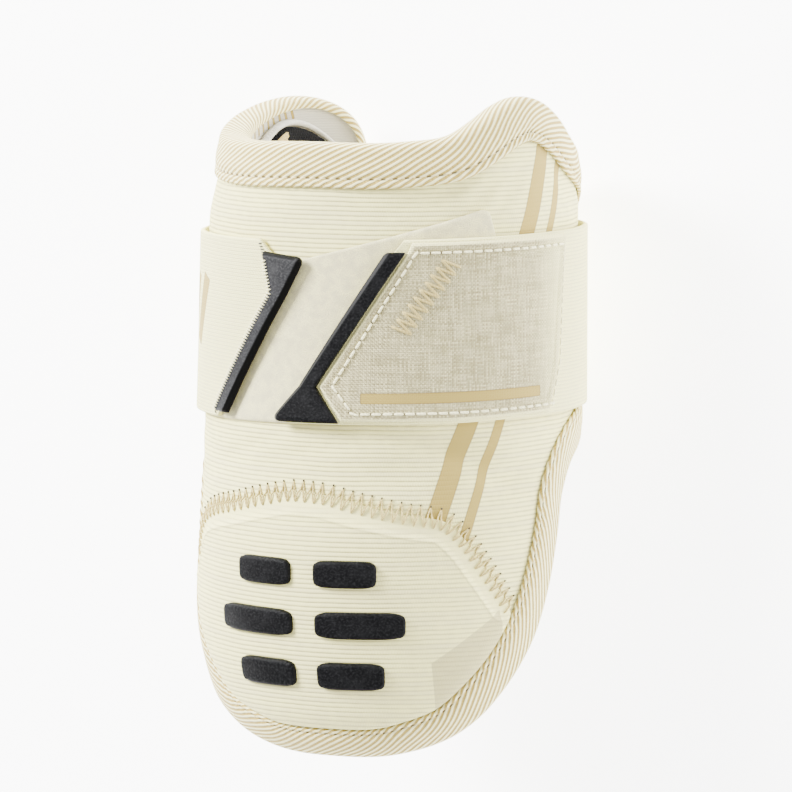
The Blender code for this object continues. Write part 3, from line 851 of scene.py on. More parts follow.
def twill_finish():
    n, cloth = finish("cream_and_tan_twill", 0.85, sheen=0.1, specular=0.25)
    along, inward = n.split(cloth)
    sine, cosine = math.sin(TWILL_LEAN), math.cos(TWILL_LEAN)
    phase = n.mul_add(along, -sine, n.mul(inward, cosine))
    drift = n.sub(n.noise(cloth, 60.0), 0.5)
    phase = n.mul_add(drift, 0.0004, phase)
    stripe = n.math("DIVIDE", phase, TWILL_PITCH)
    wave = n.math("COSINE", n.mul(stripe, 2 * math.pi))
    cream = n.span(wave, -0.30, 0.45)
    cross = n.mul_add(along, cosine, n.mul(inward, sine))
    cross = n.math("DIVIDE", cross, 0.00055)
    pick = n.ripple(cross)
    tone = n.noise(n.pair(n.math("FLOOR", stripe), n.mul(cross, 0.35)), 3.0)
    tan = n.mix(n.span(tone, 0.3, 0.7), (0.36, 0.255, 0.050), (0.53, 0.39, 0.105))
    colour = n.mix(cream, tan, (0.99, 0.93, 0.50))
    # Painted shade in the furrows where the cords meet.
    furrow = n.hollow(n.math("ABSOLUTE", wave), 3.0)
    colour = n.mix(n.mul(furrow, 0.30), colour, (0.28, 0.18, 0.05))
    # Each stitch of the seam sinks in a small dash, painted dark as the shade in its hole.
    # The brim is the distance to the seam.
    aside = n.math("ABSOLUTE", n.brim())
    beat = n.math("PINGPONG", along, SEAM_PITCH / 2)
    beside_seam = n.span(aside, 0.00014, 0.00042, 1.0, 0.0)
    hole = n.mul(beside_seam, n.span(beat, 0.0005, 0.0010, 1.0, 0.0))
    colour = n.mix(n.mul(hole, 0.8), colour, (0.07, 0.05, 0.025))
    height = n.mul_add(wave, 0.5, n.mul(pick, 0.22))
    height = n.sub(height, hole)
    return dress(n, colour, height, depth=0.00028)


def elastic_finish():
    n, cloth = finish("cream_elastic", 0.88, sheen=0.1, specular=0.25)
    weave = n.place(woven, Cloth=cloth, Thread=0.00062)
    ribs = n.place(ribbed, Cloth=cloth, Pitch=RIB_ROW, Wale=0.0009)
    fuzz = n.place(fuzzy, Cloth=cloth)
    # The ribs show on the right side only, where the band is stretched round the guard.
    stretched = n.span(n.split(cloth)[0], arc(60), arc(86))
    depth = n.mul_add(stretched, 0.36, 0.10)
    # Painted shade: the gaps between the threads, and the rib grooves where the ribs show, are
    # darkened.
    colour = n.mix(n.mul(weave["Gap"], 0.40), (0.98, 0.93, 0.43), (0.56, 0.50, 0.26))
    colour = n.mix(n.mul(ribs["Groove"], depth), colour, (0.44, 0.39, 0.22))
    colour = n.mix(n.span(weave["Tone"], 0.4, 0.75, 0.0, 0.18), colour, (0.74, 0.68, 0.42))
    bars = [
        band(302.5 + 9.5 * row, STRAP_HEIGHT * LENGTH + 0.004, 66, 0.026, 0.0042 + 0.0022 * row)
        for row in range(2)
    ]
    height = n.mul_add(fuzz["Fine"], 0.2, weave["Height"])
    height = n.mul_add(ribs["Height"], stretched, height)
    colour, height = print_over(n, cloth, colour, height, bars)
    return dress(n, colour, height, depth=0.00014)


def heather_finish():
    n, cloth = finish("heathered_weave", 0.9, sheen=0.1, specular=0.2)
    weave = n.place(woven, Cloth=cloth, Thread=0.00066)
    ribs = n.place(ribbed, Cloth=cloth, Pitch=RIB_ROW, Wale=0.0013)
    fuzz = n.place(fuzzy, Cloth=cloth, Blotch=220.0)
    along, up = n.split(cloth)
    colour = n.mix(n.span(weave["Tone"], 0.32, 0.66), (0.71, 0.645, 0.35), (0.36, 0.315, 0.16))
    # Painted shade: the gaps between the threads are darkened.
    colour = n.mix(n.mul(weave["Gap"], 0.7), colour, (0.15, 0.12, 0.06))
    # Every second row and column of threads lies a little deeper: its shade, with the shade in
    # the rib grooves, is painted as a fine dark grid.
    column = n.ripple(n.math("DIVIDE", along, 0.00132))
    line = n.hollow(column, 3.0)
    streak = n.noise(n.pair(n.mul(along, 330.0), n.mul(up, 12.0)), 1.0)
    line = n.mul(line, n.span(streak, 0.35, 0.65))
    grid = n.math("MAXIMUM", n.mul(line, 0.55), n.mul(ribs["Groove"], 0.42))
    colour = n.mix(grid, colour, (0.24, 0.20, 0.11))
    colour = n.mix(n.span(fuzz["Blotch"], 0.4, 0.7, 0.0, 0.20), colour, (0.50, 0.45, 0.28))
    # The cloth pales at its right end: partly its own colour fading into the band, partly painted
    # light where that end is lit from the right. Its folded hem is plain cream.
    colour = n.mix(n.span(along, arc(70), arc(87), 0.0, 0.7), colour, (0.94, 0.885, 0.43))
    colour = n.mix(n.span(n.brim(), 0.0009, 0.0013, 0.9, 0.0), colour, (0.97, 0.91, 0.45))
    height = n.mul_add(fuzz["Fine"], 0.2, weave["Height"])
    height = n.mul_add(ribs["Height"], 0.6, height)
    bars = (band(47.0, 0.1268, 0.6, 0.064, 0.0036),)
    colour, height = print_over(n, cloth, colour, height, bars)
    return dress(n, colour, height, depth=0.00018)


def pile_finish():
    n, cloth = finish("cream_loop_pile", 0.95, sheen=0.3, specular=0.15)
    fuzz = n.place(fuzzy, Cloth=cloth, Blotch=260.0, Fine=2600.0)
    colour = n.mix(n.span(fuzz["Fine"], 0.3, 0.7), (0.62, 0.56, 0.30), (0.96, 0.90, 0.47))
    colour = n.mix(n.span(fuzz["Blotch"], 0.35, 0.66, 0.0, 0.55), colour, (0.52, 0.47, 0.30))
    return dress(n, colour, fuzz["Fine"], depth=0.00030)


def lining_finish():
    n, cloth = finish("pale_grey_lining", 0.92, sheen=0.15, specular=0.2)
    ribs = n.place(ribbed, Cloth=cloth, Pitch=0.0009, Wale=0.0007)
    fuzz = n.place(fuzzy, Cloth=cloth)
    # Painted shade: the grooves between the ribs are darkened.
    colour = n.mix(n.mul(ribs["Groove"], 0.35), (0.60, 0.57, 0.47), (0.34, 0.32, 0.25))
    colour = n.mix(n.span(fuzz["Blotch"], 0.4, 0.7, 0.0, 0.2), colour, (0.46, 0.43, 0.34))
    height = n.mul_add(fuzz["Fine"], 0.2, ribs["Height"])
    # A row of short slanted dashes follows the left flap's upper edge.
    bars = [
        band(angle, through(DASH_ANGLES, DASH_HEIGHTS, float(angle)) * LENGTH, 62, 0.0046, 0.0014)
        for angle in range(-106, -58, 4)
    ]
    colour, height = print_over(n, cloth, colour, height, bars)
    return dress(n, colour, height, depth=0.00014)


def rubber_finish(name, colour, worn, bevel):
    """Grained rubber. The brim is 1 on a piece's smooth bevel, which is painted its own colour as
    light: a painted highlight on the anchor strip, painted shade on the pull tab.
    """
    n, cloth = finish(name, 0.6, sheen=0.0, specular=0.05)
    grain = n.noise(cloth, 1300.0, 3.0, 0.65)
    blotch = n.noise(cloth, 160.0, 3.0, 0.6)
    tint = n.mix(n.span(grain, 0.42, 0.72), colour, worn)
    tint = n.mix(n.span(blotch, 0.45, 0.75, 0.0, 0.5), tint, worn)
    brim = n.brim()
    n.feed(n.shader.inputs["Roughness"], n.span(blotch, 0.3, 0.7, 0.40, 0.58))
    return dress(n, n.mix(brim, tint, bevel), n.mul(n.sub(1.0, brim), grain), depth=0.00022)


def thread_finish(name, colour, low):
    n, cloth = finish(name, 0.6, sheen=0.1, specular=0.35)
    plies = n.place(twisted, Cloth=cloth)
    shade = n.mix(n.mul(plies["Groove"], 0.4), colour, low)
    return dress(n, shade, plies["Height"], depth=0.0001)


def plain_cloth_finish(name, colour, low, thread):
    n, cloth = finish(name, 0.9, sheen=0.03, specular=0.08)
    weave = n.place(woven, Cloth=cloth, Thread=thread)
    shade = n.mix(n.mul(weave["Gap"], 0.8), colour, low)
    shade = n.mix(n.span(weave["Tone"], 0.35, 0.7, 0.0, 0.5), shade, low)
    return dress(n, shade, weave["Height"], depth=0.00015)


stripes = [band(*place, 69.0, 0.230, width) for *place, width in STRIPES]
knit = knit_finish("cream_ribbed_knit", stripes)
cap_knit = knit_finish("cap_ribbed_knit", patch=band(51.0, 0.034, 34.0, 0.030, 0.017, lean=-0.5))
twill = twill_finish()
elastic = elastic_finish()
heather = heather_finish()
pile = pile_finish()
lining_knit = lining_finish()
# Black rubber; its bevel colour is a painted highlight on the anchor strip's lit left bevel.
rubber = rubber_finish(
    "black_moulded_rubber", (0.0030, 0.0030, 0.0034), (0.013, 0.013, 0.014), (0.024, 0.024, 0.025)
)
# The pull tab's rubber: black rubber with its face painted lighter as painted light, where its top
# catches the light from the left; its bevel colour is painted shade.
tab_rubber = rubber_finish(
    "black_rubber_painted_lit", (0.022, 0.022, 0.0235), (0.055, 0.055, 0.057), (0.003, 0.003, 0.003)
)
tan_thread = thread_finish("tan_thread", (0.54, 0.43, 0.15), (0.28, 0.19, 0.06))
seam_thread = thread_finish("seam_thread", (0.78, 0.64, 0.32), (0.46, 0.34, 0.13))
cream_thread = thread_finish("cream_thread", (0.98, 0.93, 0.56), (0.60, 0.54, 0.34))
grey_thread = thread_finish("grey_thread", (0.07, 0.065, 0.05), (0.01, 0.01, 0.008))
# Dark stubs put in needle holes, as their painted shade.
hole_shade = thread_finish("needle_hole", (0.045, 0.033, 0.015), (0.02, 0.015, 0.01))
pad_black, pad_gaps = (0.003, 0.003, 0.0033), (0.001, 0.001, 0.001)
pad_cloth = plain_cloth_finish("black_pad_mesh", pad_black, pad_gaps, 0.0009)
white_piping = plain_cloth_finish("white_piping", (0.76, 0.73, 0.63), (0.50, 0.47, 0.39), 0.0005)
tan_ribbon = plain_cloth_finish("tan_ribbon", (0.60, 0.45, 0.18), (0.30, 0.21, 0.08), 0.0010)


# ---- The pieces ----


def shell_places(u, v, cells):
    """Pattern places over the shell, blended from the four sides of its edge."""
    lower_right, upper_right, upper_left, lower_left = RIM_CORNERS
    columns, rows = (np.linspace(0.0, 1.0, count + 1) for count in cells)
    bottom = rim_run(lower_left, lower_right + len(RIM), columns)
    right = rim_run(lower_right, upper_right, rows)
    top = rim_run(upper_right, upper_left, columns)[::-1]
    left = rim_run(upper_left, lower_left, rows)[::-1]
    column = np.rint(u * cells[0]).astype(int)
    row = np.rint(v * cells[1]).astype(int)
    across, up = u[:, None], (v**1.1)[:, None]
    between = bottom[column] * (1 - up) + top[column] * up
    between = between + left[row] * (1 - across) + right[row] * across
    corners = (bottom[0] * (1 - across) + bottom[-1] * across) * (1 - up)
    corners = corners + (top[0] * (1 - across) + top[-1] * across) * up
    points = between - corners
    return points[:, 0], points[:, 1]


def make_shell():
    cells = (230, 156)

    def shape(u, v, out):
        angle, height = shell_places(u, v, cells)
        inside = from_edge(angle, height)
        off_edge = step_up(inside / 0.006)
        pinch = 0.0012 * (1 - off_edge)
        soft = 0.00030 * bump_at(inside, TAPE_OUTER, 0.0022) * off_edge
        outer = knit_lift(angle, height) * step_up((inside - 0.010) / 0.006) - pinch - soft
        inner = -SHELL_WALL + pinch
        return angle, height, np.where(out, outer, inner)

    slab("shell_knit", cells, shape, knit, ["shell"])


def make_lining():
    cells = (150, 100)

    def shape(u, v, out):
        angle, height = shell_places(u, v, cells)
        inside = from_edge(angle, height)
        wave = np.sin(angle * 9 + height * 60) * np.sin(height * 150 - angle * 4)
        sag = 0.00035 * (wave - 1) * step_up((inside - 0.006) / 0.010)
        return angle, height, np.where(out, LINING_LIFT, INSIDE_LIFT + sag)

    piece = slab("lining_knit", cells, shape, lining_knit, ["lining"])


def tape_profile(seam):
    """The tape's section, as insets from the shell's edge and lifts: its face, then its back."""
    face = TAPE_LIFT + TAPE_WALL
    under = INSIDE_LIFT - INNER_GAP - TAPE_WALL
    middle, half = (face + under) / 2, (face - under) / 2
    turn = np.linspace(np.pi / 2, -np.pi / 2, 17)
    power = 2 / 2.7
    roll_in = np.where(turn > 0, 0.0026, 0.0012)
    reach = roll_in + EDGE_GAP + TAPE_WALL
    roll = np.column_stack(
        [
            roll_in - reach * np.abs(np.cos(turn)) ** power,
            middle + half * np.sign(np.sin(turn)) * np.abs(np.sin(turn)) ** power,
        ]
    )
    outer_leg = np.array(
        [
            (TAPE_OUTER, TAPE_LIFT),
            (TAPE_OUTER, 0.00075),
            (0.01325, 0.00125),
            (0.0128, 0.00160),
            (seam + 0.0005, 0.00155),
            (seam, 0.00122),
            (seam - 0.0005, 0.00155),
            (seam - 0.0012, 0.00180),
            (seam - 0.0022, 0.00198),
            (seam - 0.0036, 0.00205),
            (0.006, 0.00200),
            (0.0045, 0.00182),
        ]
    )
    inner_leg = np.array([(TAPE_INNER - 0.0002, under + 0.0001), (TAPE_INNER, under + 0.0005)])
    inner_end = np.array([(TAPE_INNER, under + TAPE_WALL)])
    core, roll_in, reach = roll[2:-2:3].copy(), roll_in[2:-2:3], reach[2:-2:3]
    core[:, 0] = roll_in + (core[:, 0] - roll_in) * (reach - TAPE_WALL) / reach
    core[:, 1] = middle + (core[:, 1] - middle) * (half - TAPE_WALL) / half
    back = np.concatenate([core[::-1], [(0.006, TAPE_LIFT), (0.010, TAPE_LIFT)]])
    front = np.concatenate([outer_leg, roll, inner_leg, inner_end])
    return front, back


def make_binding():
    """Twill tape folded round the whole edge, with a soft roll over it and one seam."""
    sections = 1900
    around = np.linspace(0.0, 1.0, sections + 1)
    edge = rim_run(0, len(RIM), around)[:-1]
    tangents = sum(
        np.roll(edge, -step, axis=0) - np.roll(edge, step, axis=0) for step in range(1, 9)
    )
    travel = travelled(np.vstack([edge, edge[:1]]) * FLAT)
    stitches = round(travel[-1] / SEAM_PITCH)
    travel = travel * stitches * SEAM_PITCH / travel[-1]
    beat = 2 * np.pi * travel[:-1] / SEAM_PITCH
    cords = beat - 2 * np.pi * TAPE_OUTER * math.cos(TWILL_LEAN) / TWILL_PITCH
    halves = [tape_profile(seam) for seam in SEAM_INSETS]
    profile, at_cuff = (np.concatenate(half) for half in halves)
    # The seam runs near the tape's inner edge at the lobe and further from it at the cuff.
    share = step_up((edge[:, 1] / LENGTH - 0.55) / 0.3)
    seam_inset = SEAM_INSETS[0] * (1 - share) + SEAM_INSETS[1] * share
    rings, brims = [], []
    for (at_lobe, lift), (risen, _) in zip(profile, at_cuff):
        depth = at_lobe * (1 - share) + risen * share
        # The inner edge is scalloped by the cords that end there, and the seam puckers it.
        scallop = 0.00016 * np.cos(cords) * (depth > TAPE_OUTER - 0.0008)
        place = inset(edge, tangents, depth + scallop)
        pull = bump_at(depth, seam_inset, 0.0022) * (lift > TAPE_LIFT + 0.0001)
        rings.append(wrap(place[:, 0], place[:, 1], lift - 0.00014 * np.cos(beat) * pull))
        brims.append(depth - seam_inset)
    mesh = bpy.data.meshes.new("binding_tape")
    faces = ring_faces(sections, len(profile))
    mesh.from_pydata(np.stack(rings, axis=1).reshape(-1, 3).tolist(), [], faces.tolist())
    # The map runs round the shell's edge one way and over the tape's fold the other.
    walks = [travelled(front) for front, _ in halves]
    inward = [TAPE_OUTER - np.pad(walk, (0, len(profile) - len(walk)), "edge") for walk in walks]
    inward = np.outer(1 - share, inward[0]) + np.outer(share, inward[1])
    i, j = np.meshgrid(np.arange(sections), np.arange(len(profile)), indexing="ij")
    beside = (j + 1) % len(profile)
    corners = [(i, j), (i, beside), (i + 1, beside), (i + 1, j)]
    maps = [np.stack([travel[a], inward[a % sections, b]], axis=-1) for a, b in corners]
    maps = np.ascontiguousarray(np.stack(maps, axis=2), np.float32)
    mesh.uv_layers.new(name="cloth").data.foreach_set("uv", maps.ravel())
    set_brim(mesh, np.stack(brims, axis=1).ravel())
    piece = new_object("binding_tape", mesh)
    settle(piece, "binding_tape", twill, ["edge_binding"])
    seam = inset(edge, tangents, seam_inset)
    seam = np.vstack([seam, seam[:1]])
    starts, ends = (
        read_at((np.arange(stitches) + 0.5 + half) / stitches % 1.0, around, seam)
        for half in (-0.31, 0.31)
    )
    shown = {"thick": 0.00030, "stations": 6, "sides": 6}
    threads("binding_seam", starts, ends, 0.00124, seam_thread, **shown)


def seam_curve(count=400):
    """The cap's upper seam as close pattern points, left to right."""
    angle = np.linspace(CAP_SEAM[0, 0], CAP_SEAM[-1, 0], count)
    height = through(CAP_SEAM[:, 0], CAP_SEAM[:, 1], angle) * LENGTH
    return np.column_stack([np.radians(angle + CAP_MIDDLE), height])


def cap_lift(from_seam, from_binding):
    """The cap's outer face: a flat hem along the seam, a low ridge, then a padded crown."""
    hem = 0.0007 - 0.00025 * bump_at(from_seam, 0.0, 0.0016)
    raised = 0.00095 * step_up((from_seam - 0.0056) / 0.0026)
    ridge = 0.00016 * bump_at(from_seam, 0.0076, 0.0009)
    crown = 0.0004 * step_up((from_seam - 0.010) / 0.020)
    down = 0.45 + 0.55 * round_over(from_binding, 0.0060)
    return CAP_LIFT + (hem + raised + ridge + crown) * down


def make_cap():
    cells = (190, 110)
    edge = rim_run(*CAP_EDGE, np.linspace(0.0, 1.0, cells[0] + 1))
    lower = inset(edge, np.gradient(edge, axis=0), TAPE_OUTER + BESIDE)
    seam = seam_curve(cells[0] + 1)
    tall = np.linalg.norm(shell_face(*seam.T) - shell_face(*lower.T), axis=1)

    def shape(u, v, out):
        column = np.rint(u * cells[0]).astype(int)
        v = eased(v, 0.45)[:, None]
        place = lower[column] * (1 - v) + seam[column] * v
        from_seam = nearest(place * FLAT, seam[::3] * FLAT)
        from_binding = v[:, 0] * tall[column]
        rounding = 0.3 + 0.7 * round_over(np.minimum(from_seam, from_binding + 0.0002), 0.0006)
        top = CAP_LIFT + (cap_lift(from_seam, from_binding) - CAP_LIFT) * rounding
        return place[:, 0], place[:, 1], np.where(out, top, CAP_LIFT), from_seam

    piece = slab("cap_panel", cells, shape, cap_knit, ["elbow_cap"])


def make_cap_seam():
    """The zigzag that sews the cap down, and dark stubs for the shade in the needle's holes at its
    upper points.
    """
    curve = seam_curve()
    beyond = 0.0026 / np.linalg.norm((curve[-1] - curve[-9]) * FLAT)
    curve = np.vstack([curve, curve[-1] + (curve[-1] - curve[-9]) * beyond])
    places = curve_places(curve, ZIGZAG_PITCH, 0.0008)
    upper = places(0.0, 0.0037)
    starts, ends, even = zigzag(upper, places(0.0, -0.0033))

    def lifts(share):
        down = np.where(even, share, 1 - share)
        return 0.00002 + step_up((down - 0.38) / 0.2) * (CAP_LIFT + 0.00085)

    shown = {"thick": 0.00062, "arch": 0.00012, "stations": 12}
    threads("cap_zigzag", starts, ends, lifts, tan_thread, **shown)
    # Painted shade: dark stubs in the needle's holes.
    holes = upper[::2], places(0.0, 0.0043)[::2]
    threads("cap_needle_holes", *holes, 0.00004, hole_shade, thick=0.0006, bury=0.35, **SHORT)


def make_bumper(number, share, side, half_row):
    """One rounded rubber bumper, at a height share and on one side of the cap's middle."""
    inner, outer = BUMPER_SPLIT / 2, half_row * RADIUS
    middle = math.radians(CAP_MIDDLE) + side * (inner + outer) / 2 / RADIUS
    half_width = (outer - inner) / 2

    def shape(u, v, out):
        across, up = 2 * eased(u, 0.75) - 1, 2 * eased(v, 0.6) - 1
        largest = np.maximum(np.abs(across), np.abs(up))
        rounded = (np.abs(across) ** 5 + np.abs(up) ** 5) ** 0.2
        pull = largest / np.maximum(rounded, 0.001)
        to_side = (1 - np.abs(across)) * half_width
        to_end = (1 - np.abs(up)) * BUMPER_HEIGHT / 2
        slope = round_over(np.minimum(to_side, to_end), 0.0013)
        crown = 0.00025 * (1 - across**2) * (1 - up**2)
        top = BUMPER_LIFT + BUMPER_WALL * (0.42 + 0.58 * slope) + crown
        # The wall leans in a little as it rises.
        pull = pull * (1 - np.where(out & (largest > 0.999), 0.02, 0.0))
        angle = middle + pull * across * half_width / RADIUS
        height = share * LENGTH + pull * up * BUMPER_HEIGHT / 2
        return angle, height, np.where(out, top, BUMPER_LIFT)

    node = f"cap_bumper_{number}"
    slab(f"rubber_bumper_{number}", (56, 26), shape, rubber, [node])


def make_bumpers():
    places = [(*row, side) for row in BUMPER_ROWS for side in (-1, 1)]
    for number, (share, half_row, side) in enumerate(places, 1):
        make_bumper(number, share, side, half_row)


def make_strap():
    """The elastic band, from the anchor strip round the back to the pull tab."""
    cells = (460, 36)
    first, last = STRAP_STRAIGHT
    end_share = STRAP_END_SHARE

    def shape(u, v, out):
        across = eased(v, 0.8)
        right_end, left_end = (
            through(STRAP_ENDS[:, 0], STRAP_ENDS[:, side], across) for side in (1, 2)
        )
        to_first = right_end + (first - right_end) * u / end_share
        to_last = last + (left_end + 360 - last) * (u - 1 + end_share) / end_share
        angle = first + (last - first) * (u - end_share) / (1 - 2 * end_share)
        angle = np.where(u < end_share, to_first, np.where(u > 1 - end_share, to_last, angle))
        start, risen = STRAP_CLIMB
        climb = np.clip((start - np.abs(angle - 180)) / (start - risen), 0.0, 1.0)
        lift = STRAP_LIFT + (STRAP_BACK_LIFT - STRAP_LIFT) * climb
        edge = round_over(np.minimum(across, 1 - across) * STRAP_WIDTH, 0.0007)
        thick = STRAP_WALL * (0.45 + 0.55 * edge)
        angle = np.radians(angle)
        return angle, strap_height(across, angle), lift + np.where(out, thick, 0.0)

    piece = slab("elastic_strap", cells, shape, elastic, ["strap"])


def ruled(rows, finest, pull=0.0, corners=(0, 0, 0, 0)):
    """Places between a left and a right edge, with a grid row for each row of the table.

    corners are the radii of the lower left, lower right, upper right and upper left corners.
    It gives the places, in radians and metres, their distances to the left, right, lower and
    upper edge, and the number of grid rows.
    """
    table = np.array(rows, float)
    degree = arc(1)
    steps = np.abs(np.diff(table, axis=0)) * (degree, STRAP_WIDTH, degree, STRAP_WIDTH)
    counts = np.maximum(np.ceil(np.max(steps, axis=1) / finest), 1)
    places = np.concatenate([[0.0], np.cumsum(counts)])
    risen = travelled((table[:, :2] + table[:, 2:]) / 2 * (degree, STRAP_WIDTH))

    def at(u, v):
        u = eased(u, pull)
        row = v * places[-1]
        up = np.interp(row, places, risen)
        edges = [np.interp(row, places, table[:, column]) for column in range(4)]
        width = np.hypot((edges[2] - edges[0]) * degree, (edges[3] - edges[1]) * STRAP_WIDTH)
        side = u * width
        over = risen[-1] - up
        for number, radius in enumerate(corners):
            if not radius:
                continue
            from_side = side if number in (0, 3) else width - side
            from_end = up if number in (0, 1) else over
            x, y = 1 - from_side / radius, 1 - from_end / radius
            turned = (x > 0) & (y > 0)
            shrink = np.maximum(x, y) / np.maximum(np.hypot(x, y), 0.001)
            from_side = np.where(turned, radius * (1 - x * shrink), from_side)
            from_end = np.where(turned, radius * (1 - y * shrink), from_end)
            side = from_side if number in (0, 3) else width - from_side
            up = from_end if number in (0, 1) else risen[-1] - from_end
            over = risen[-1] - up
        u = side / width
        row = np.interp(up, risen, places)
        left_angle, left_height, right_angle, right_height = (
            np.interp(row, places, table[:, column]) for column in range(4)
        )
        angle = np.radians(left_angle + u * (right_angle - left_angle))
        height = strap_height(left_height + u * (right_height - left_height), angle)
        return angle, height, (side, width - side, up, risen[-1] - up)

    return at, int(places[-1])


def make_loop_panel():
    at, rows = ruled(LOOP_PANEL, 0.0011, pull=0.6, corners=(0, 0, 0.003, 0.004))

    def shape(u, v, out):
        angle, height, edges = at(u, v)
        top = PANEL_LIFT + PANEL_WALL * (0.35 + 0.65 * round_over(np.minimum.reduce(edges), 0.0009))
        swell = np.maximum(knit_lift(angle, height), 0.0)
        return angle, height, np.where(out, top, PANEL_LIFT) + swell

    piece = slab("loop_pile_panel", (120, rows), shape, pile, ["loop_panel"])


def make_cover():
    """The woven cover: a folded edge all round, pressed down along its row of stitches."""
    at, rows = ruled(COVER, 0.0010, pull=0.6, corners=(0, 0, 0.002, 0))

    def shape(u, v, out):
        angle, height, edges = at(u, v)
        near = np.minimum.reduce(edges)
        puff = 0.00016 * bump_at(near, 0.0018, 0.0011)
        puff = puff - 0.00022 * bump_at(near, STITCH_INSET, 0.0008)
        top = COVER_LIFT + (COVER_WALL + puff) * (0.3 + 0.7 * round_over(near, 0.0006))
        hem = np.minimum.reduce([edges[0], edges[2], edges[3]])
        return angle, height, np.where(out, top, COVER_LIFT), hem

    piece = slab("woven_cover", (150, rows), shape, heather, ["strap_cover"])


def strap_points(*places):
    """Pattern points from angles in degrees and shares of the strap's width."""
    table = np.array(places)
    angle = np.radians(table[:, 0])
    return np.column_stack([angle, strap_height(table[:, 1], angle)])


def make_cover_stitches():
    """Cream top stitches inside the cover's edges, and the tan bartack over the strap's end."""
    inside = STITCH_INSET / STRAP_WIDTH
    bottom = (81.0, inside + 0.010), (16.9, inside + 0.006)
    line = strap_points(*bottom, (10.9, 0.212), (34.6, 0.930), (86.0, 0.985 - inside))
    places = curve_places(polyline(line), TOP_STITCH_PITCH, 0.001)
    ends = places(-0.00145), places(0.00145)
    threads("cover_top_stitches", *ends, COVER_TOP - 0.00010, cream_thread, thick=0.00088, bury=0.3)
    # Painted shade: dark stubs in the needle's holes beside the stitches.
    holes = places(0.0018, -0.00045), places(0.0018, 0.00045)
    shown = {"thick": 0.00036, "bury": 0.2, **SHORT}
    threads("cover_needle_holes", *holes, COVER_TOP - 0.00030, hole_shade, **shown)
    right = polyline(strap_points((80.5, 0.05), (84.5, 0.30), (86.5, 0.92)))
    places = curve_places(right, TOP_STITCH_PITCH, 0.001)
    ends = places(-0.00125), places(0.00125)
    threads("cover_end_stitches", *ends, COVER_TOP - 0.00012, cream_thread, thick=0.00058)
    middle = polyline(strap_points((30.1, 0.505), (45.9, 0.895)))
    places = curve_places(middle, BARTACK_PITCH, 0.0)
    starts, ends, _ = zigzag(places(0.0, BARTACK_HALF), places(0.0, -BARTACK_HALF))
    shown = {"thick": 0.00105, "arch": 0.0001, "stations": 10}
    threads("bartack", starts, ends, COVER_TOP - 0.00005, tan_thread, **shown)


def make_trims():
    """The two moulded rubber strips: chamfered where they show an edge, with a few soft corners."""
    at, rows = ruled(ANCHOR_STRIP, 0.0009, pull=0.7, corners=(0.0020, 0, 0, 0.0012))

    def strip(u, v, out):
        angle, height, (left, right, low, high) = at(u, v)
        ends = np.minimum(low, high)
        chamfer = 0.45 + 0.55 * np.clip(left / 0.0014, 0.0, 1.0)
        top = chamfer * (0.7 + 0.3 * round_over(np.minimum(ends, right), 0.0007))
        # Painted highlight: the bevel along the strip's left edge, which faces the light.
        bevel = (1 - step_up((left - 0.0010) / 0.0006)) * step_up(left / 0.0003)
        # Its sharp lower left tip is rounded off.
        bite = 0.0036 * (1 - round_over(low, 0.0034)) * right / np.maximum(left + right, 0.001)
        angle = angle + bite / RADIUS
        return angle, height, COVER_LIFT + np.where(out, TRIM_WALL * top, 0.0), bevel

    slab("anchor_strip_rubber", (40, rows), strip, rubber, ["anchor_strip"])

    at_tab, rows = ruled(PULL_TAB, 0.0009, pull=0.7, corners=(0, 0, 0.0030, 0))

    def tab(u, v, out):
        angle, height, (left, right, low, high) = at_tab(u, v)
        side = np.clip(np.minimum(right, high * 1.8) / 0.0017, 0.0, 1.0)
        top = (0.10 + 0.90 * side**0.8) * (0.62 + 0.38 * round_over(left, 0.0009))
        top = top * (0.7 + 0.3 * round_over(low, 0.0006))
        # Painted shade: the bevels at the tab's right and upper edges, which face away from the
        # light.
        bevel = 1 - step_up((side - 0.85) / 0.2)
        return angle, height, COVER_LIFT + np.where(out, TRIM_WALL * top, 0.0), bevel

    slab("pull_tab_rubber", (44, rows), tab, tab_rubber, ["pull_tab"])
    edge = strap_points((-34.0, 0.004), *(row[:2] for row in PULL_TAB), (-12.8, 0.985))
    places = curve_places(polyline(edge), OVERLOCK_PITCH, 0.0006)
    up = places()[:, 1]
    on_tab = (up > edge[1, 1] + 0.0006) & (up < edge[-2, 1] - 0.0030)
    seat = STRAP_LIFT + STRAP_WALL + 0.00010
    rise = COVER_LIFT + TRIM_WALL * 1.02 - seat

    def over_edge(share):
        return seat + rise * step_up(share / 0.5)

    ends = places(0.0, 0.0013)[on_tab], places(0.0003, -0.0014)[on_tab]
    shown = {"thick": 0.00050, "stations": 10, "sides": 6}
    threads("tab_overlock", *ends, over_edge, cream_thread, **shown)
    ends = places(0.0, 0.0004)[~on_tab], places(0.0004, 0.0018)[~on_tab]
    threads("overlock_ends", *ends, seat, grey_thread, thick=0.00044, **SHORT)


def pad_top(angle):
    low, high = PAD_HEIGHTS
    away = (angle - PAD_MIDDLE) / PAD_HALF
    return (high - (high - low) * PAD_ARCH * away**2) * LENGTH


